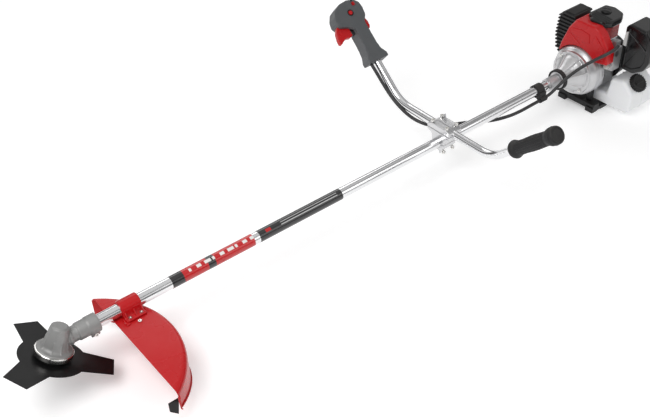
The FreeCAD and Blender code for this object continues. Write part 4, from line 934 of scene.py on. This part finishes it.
class CUTTER_OT_starter(bpy.types.Operator):
    """Model the recoil starter's cover with its spokes, side ribs and rope eye"""
    bl_idname = "cutter.starter"
    bl_label = "Recoil starter"

    def execute(self, context):
        spokes = context.scene.cutter_engine.spokes
        low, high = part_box("starter_housing")
        bowl = turned([(0, 3), (58, 3), (59, 0), (64.4, 0), (65, 0.8), (65, 3.4), (64.2, 4.2), (62.4, 4.8), (61.8, 7),
                       (59.8, 36.5), (58.6, 39), (50, 44.8), (47.4, 46), (45.2, 46), (44, 44.8), (43.2, 41.4),
                       (21.4, 41.4), (20.4, 45), (19.2, 46), (0, 46)], 96)
        shapes = [bowl]
        for number in range(spokes):
            spoke = rounded(box((20, -2.4, 40), (44.4, 2.4, 45.2)), 0.9, 2)
            shapes.append(moved(spoke, about_z(math.tau * number / spokes)))
            for share in (0.25, 0.75):
                rib = rounded(slab([(58, 8), (62.8, 8), (61.2, 35), (57, 35)], 2.4, -1.2), 0.6, 2)
                shapes.append(moved(rib, about_z(math.tau * (number + share) / spokes) @ UPRIGHT))
        hub = turned([(0, 44), (11.4, 44), (11.4, 45.6), (10.6, 46.4), (4, 46.4), (3.4, 45.8), (0, 45.8)], 48)
        away = Vector((-math.cos(math.radians(50)), math.sin(math.radians(50)), 0))
        eye = turned([(3.4, -2), (8.4, -2), (8.4, 4.6), (7.4, 6), (4.6, 6), (3.4, 4.8)], 36)
        outward = away.to_track_quat("Z", "Y").to_matrix().to_4x4()
        moved(eye, Matrix.Translation(away * 61.5 + Vector((0, 0, 24))) @ outward)
        starter = moved(gathered(shapes + [hub, eye]), on_shaft(low.x))
        piece("starter_cover", starter, "black_plastic", "frame", ["starter_housing"], crease=34)
        return {"FINISHED"}


class CUTTER_OT_air_filter(bpy.types.Operator):
    """Model the air filter's cover with its frame, ridge and louvres"""
    bl_idname = "cutter.air_filter"
    bl_label = "Air filter cover"

    def execute(self, context):
        low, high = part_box("air_filter_cover")
        start, depth = low.x * 1000, (high.x - low.x) * 1000
        outline = [(-86, 22), (-86, 142), (-98, 154), (-150, 150), (-168, 130), (-172, 62), (-160, 36),
                   (-128, 16), (-94, 16)]
        shell = rounded(slab(outline, depth, start), 5, 4, 20)
        front = max((f for f in shell.faces if f.normal.z < -0.9), key=lambda f: f.calc_area())
        bmesh.ops.inset_region(shell, faces=[front], thickness=7, depth=0)
        front = max((f for f in shell.faces if f.normal.z < -0.9), key=lambda f: f.calc_area())
        bmesh.ops.inset_region(shell, faces=[front], thickness=2.4, depth=-2.6)
        ridges = [rounded(slab([(-90, 128), (-93, 133), (-166, 92), (-163, 86)], 5, start - 0.6), 1.6, 3),
                  rounded(slab([(-92, 62), (-96, 66), (-150, 136), (-155, 132)], 5, start - 0.2), 1.6, 3)]
        louvres = [rounded(box((-173.6, 62 + 9 * k, start + 12), (-160, 66 + 9 * k, start + depth - 8)), 1.4, 2)
                   for k in range(7)]
        knob = turned([(0, 0), (11, 0), (12, 1.5), (12, 8), (10.4, 10), (0, 10.4)], 36)
        moved(knob, Matrix.Translation((-128, 98, start + depth)))
        filter_cover = moved(gathered([shell, knob] + ridges + louvres), at(0, 0, AXLE_HEIGHT, ALONG_SHAFT))
        piece("filter_shell", filter_cover, "black_gloss", "frame", ["air_filter_cover", "air_filter_base"],
              crease=36)
        return {"FINISHED"}


class CUTTER_OT_tank(bpy.types.Operator):
    """Model the fuel tank with its seam, and its ribbed cap"""
    bl_idname = "cutter.tank"
    bl_label = "Fuel tank"

    def execute(self, context):
        low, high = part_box("fuel_tank")
        start, depth = low.x * 1000, (high.x - low.x) * 1000
        outline = [(66, -104), (66, -68), (-68, -68), (-76, -16), (-116, -8), (-150, -40), (-150, -92),
                   (-138, -104)]
        body = rounded(slab(outline, depth, start), 8.5, 6, 15)
        seam = [(y * 1.008 + 0.3, z * 1.012 + 0.6) for y, z in outline]
        weld = rounded(slab(seam, 2.2, start + depth / 2 - 1.1), 0.7, 2)
        neck_angle = math.radians(43.3)
        tilt = at((start + depth * 0.38) / 1000, -0.132, AXLE_HEIGHT - 0.025, Matrix.Rotation(neck_angle, 4, "X"))
        neck = moved(turned([(0, -6), (20, -6), (18.6, 0), (18, 8.6), (0, 8.6)], 48), tilt)
        tank = gathered([moved(gathered([body, weld]), at(0, 0, AXLE_HEIGHT, ALONG_SHAFT)), neck])
        piece("tank_shell", tank, "tank_plastic", "frame", ["fuel_tank"], crease=40)
        knurls = context.scene.cutter_engine.knurls
        cap = turned([(0, 9.4), (18.1, 9.4), (18.1, 2), (24, 2), (24.4, 3), (24.4, 12), (23, 14), (20, 15),
                      (18.6, 13.6), (17, 13.2), (0, 13.2)], 88)
        grips = []
        for number in range(knurls):
            rib = rounded(box((23, -1.5, 2.4), (26, 1.5, 13.4)), 0.7, 2)
            grips.append(moved(rib, about_z(math.tau * number / knurls)))
        bar = rounded(box((-16, -3.2, 12.6), (16, 3.2, 17)), 1.6, 3)
        piece("cap_shell", moved(gathered([cap, bar] + grips), tilt), "black_plastic", "cap", ["fuel_cap"],
              crease=36)
        return {"FINISHED"}


# ---------------------------------------------------------------- studio


class StudioSettings(bpy.types.PropertyGroup):
    lens: FloatProperty(name="Lens", description="Camera lens in millimetres", default=52.62)
    key: FloatProperty(name="Key light", description="Power of the main soft light in watts", default=44.0)
    fill: FloatProperty(name="Fill light", description="Power of the fill light in watts", default=15.0)


class CUTTER_OT_studio(bpy.types.Operator):
    """Set the floor, the soft lights and the camera"""
    bl_idname = "cutter.studio"
    bl_label = "Studio"

    def execute(self, context):
        settings = context.scene.cutter_studio
        floor = bmesh.new()
        bmesh.ops.create_grid(floor, x_segments=2, y_segments=2, size=14)
        mesh = bpy.data.meshes.new("floor")
        floor.to_mesh(mesh)
        floor.free()
        ground = bpy.data.objects.new("floor", mesh)
        context.scene.collection.objects.link(ground)
        paper = bpy.data.materials.new("studio_paper")
        paper.use_nodes = True
        shader = paper.node_tree.nodes["Principled BSDF"]
        shader.inputs["Base Color"].default_value = (0.93, 0.93, 0.93, 1)
        shader.inputs["Roughness"].default_value = 0.9
        shader.inputs["Emission Color"].default_value = (1, 1, 1, 1)
        shader.inputs["Emission Strength"].default_value = 0.24
        mesh.materials.append(paper)
        for name, place, aim, size, power in (
                ("key", (-2.6, -0.6, 2.4), (-0.7, 0, 0.1), 1.6, settings.key),
                ("fill", (0.8, -2.6, 1.8), (-0.5, 0, 0.1), 2.0, settings.fill),
                ("back", (0.2, 2.4, 1.9), (-0.6, 0, 0.1), 1.8, settings.fill)):
            lamp = bpy.data.lights.new(name, "AREA")
            lamp.energy = power
            lamp.size = size
            light = bpy.data.objects.new(name, lamp)
            light.location = place
            light.rotation_euler = (Vector(aim) - Vector(place)).to_track_quat("-Z", "Y").to_euler()
            context.scene.collection.objects.link(light)
        world = bpy.data.worlds.new("studio")
        world.use_nodes = True
        tree = world.node_tree
        place, split, ramp = made_in(tree, "TexCoord", "SeparateXYZ", "ValToRGB")
        tree.links.new(place.outputs["Generated"], split.inputs["Vector"])
        tree.links.new(split.outputs["Z"], ramp.inputs["Fac"])
        tree.links.new(ramp.outputs["Color"], tree.nodes["Background"].inputs["Color"])
        ramp.color_ramp.elements[0].position = 0.0
        ramp.color_ramp.elements[0].color = (0.75, 0.75, 0.76, 1)
        ramp.color_ramp.elements[1].position = 1.0
        ramp.color_ramp.elements[1].color = (1, 1, 1, 1)
        for position, value in ((0.12, 0.08), (0.34, 0.12), (0.42, 0.95), (0.62, 1.0), (0.68, 0.35), (0.8, 0.4),
                                (0.86, 1.0)):
            stop = ramp.color_ramp.elements.new(position)
            stop.color = (value, value, value, 1)
        tree.nodes["Background"].inputs["Strength"].default_value = 0.72
        context.scene.world = world
        lens = bpy.data.cameras.new("camera")
        lens.sensor_width = 36
        lens.lens = settings.lens
        camera = bpy.data.objects.new("camera", lens)
        camera.location = (-2.0114, -1.3817, 1.5036)
        camera.rotation_euler = [math.radians(angle) for angle in (51.006, 1.859, -38.700)]
        context.scene.collection.objects.link(camera)
        context.scene.camera = camera
        context.scene.view_settings.view_transform = "Standard"
        return {"FINISHED"}


class CUTTER_PT_panel(bpy.types.Panel):
    """Lists the steps that build the brush cutter"""
    bl_idname = "CUTTER_PT_panel"
    bl_label = "Brush cutter"
    bl_space_type = "VIEW_3D"
    bl_region_type = "UI"
    bl_category = "Brush cutter"

    def draw(self, context):
        for group in GROUPS:
            sizes = getattr(context.scene, group)
            for name in sizes.__annotations__:
                self.layout.prop(sizes, name)
        for operator in OPERATORS:
            self.layout.operator(operator.bl_idname)


GROUPS = {"cutter_colours": CutterColours, "cutter_blade": BladeSizes, "cutter_guard": GuardSizes,
          "cutter_handles": HandleSizes, "cutter_engine": EngineSizes, "cutter_studio": StudioSettings}
OPERATORS = [CUTTER_OT_studio, CUTTER_OT_finishes, CUTTER_OT_blade, CUTTER_OT_gear_case, CUTTER_OT_guard,
             CUTTER_OT_left_grip, CUTTER_OT_throttle, CUTTER_OT_clamp, CUTTER_OT_cable, CUTTER_OT_housing,
             CUTTER_OT_engine_cover, CUTTER_OT_muffler_guard, CUTTER_OT_starter, CUTTER_OT_air_filter,
             CUTTER_OT_tank]


def register():
    for group in GROUPS.values():
        bpy.utils.register_class(group)
    for operator in OPERATORS:
        bpy.utils.register_class(operator)
    bpy.utils.register_class(CUTTER_PT_panel)
    for name, group in GROUPS.items():
        setattr(bpy.types.Scene, name, PointerProperty(type=group))


def unregister():
    for name in GROUPS:
        delattr(bpy.types.Scene, name)
    for item in [CUTTER_PT_panel] + OPERATORS[::-1] + list(GROUPS.values())[::-1]:
        bpy.utils.unregister_class(item)


def main():
    register()
    for operator in OPERATORS:
        family, step = operator.bl_idname.split(".")
        getattr(getattr(bpy.ops, family), step)()


if __name__ == "__main__":
    main()
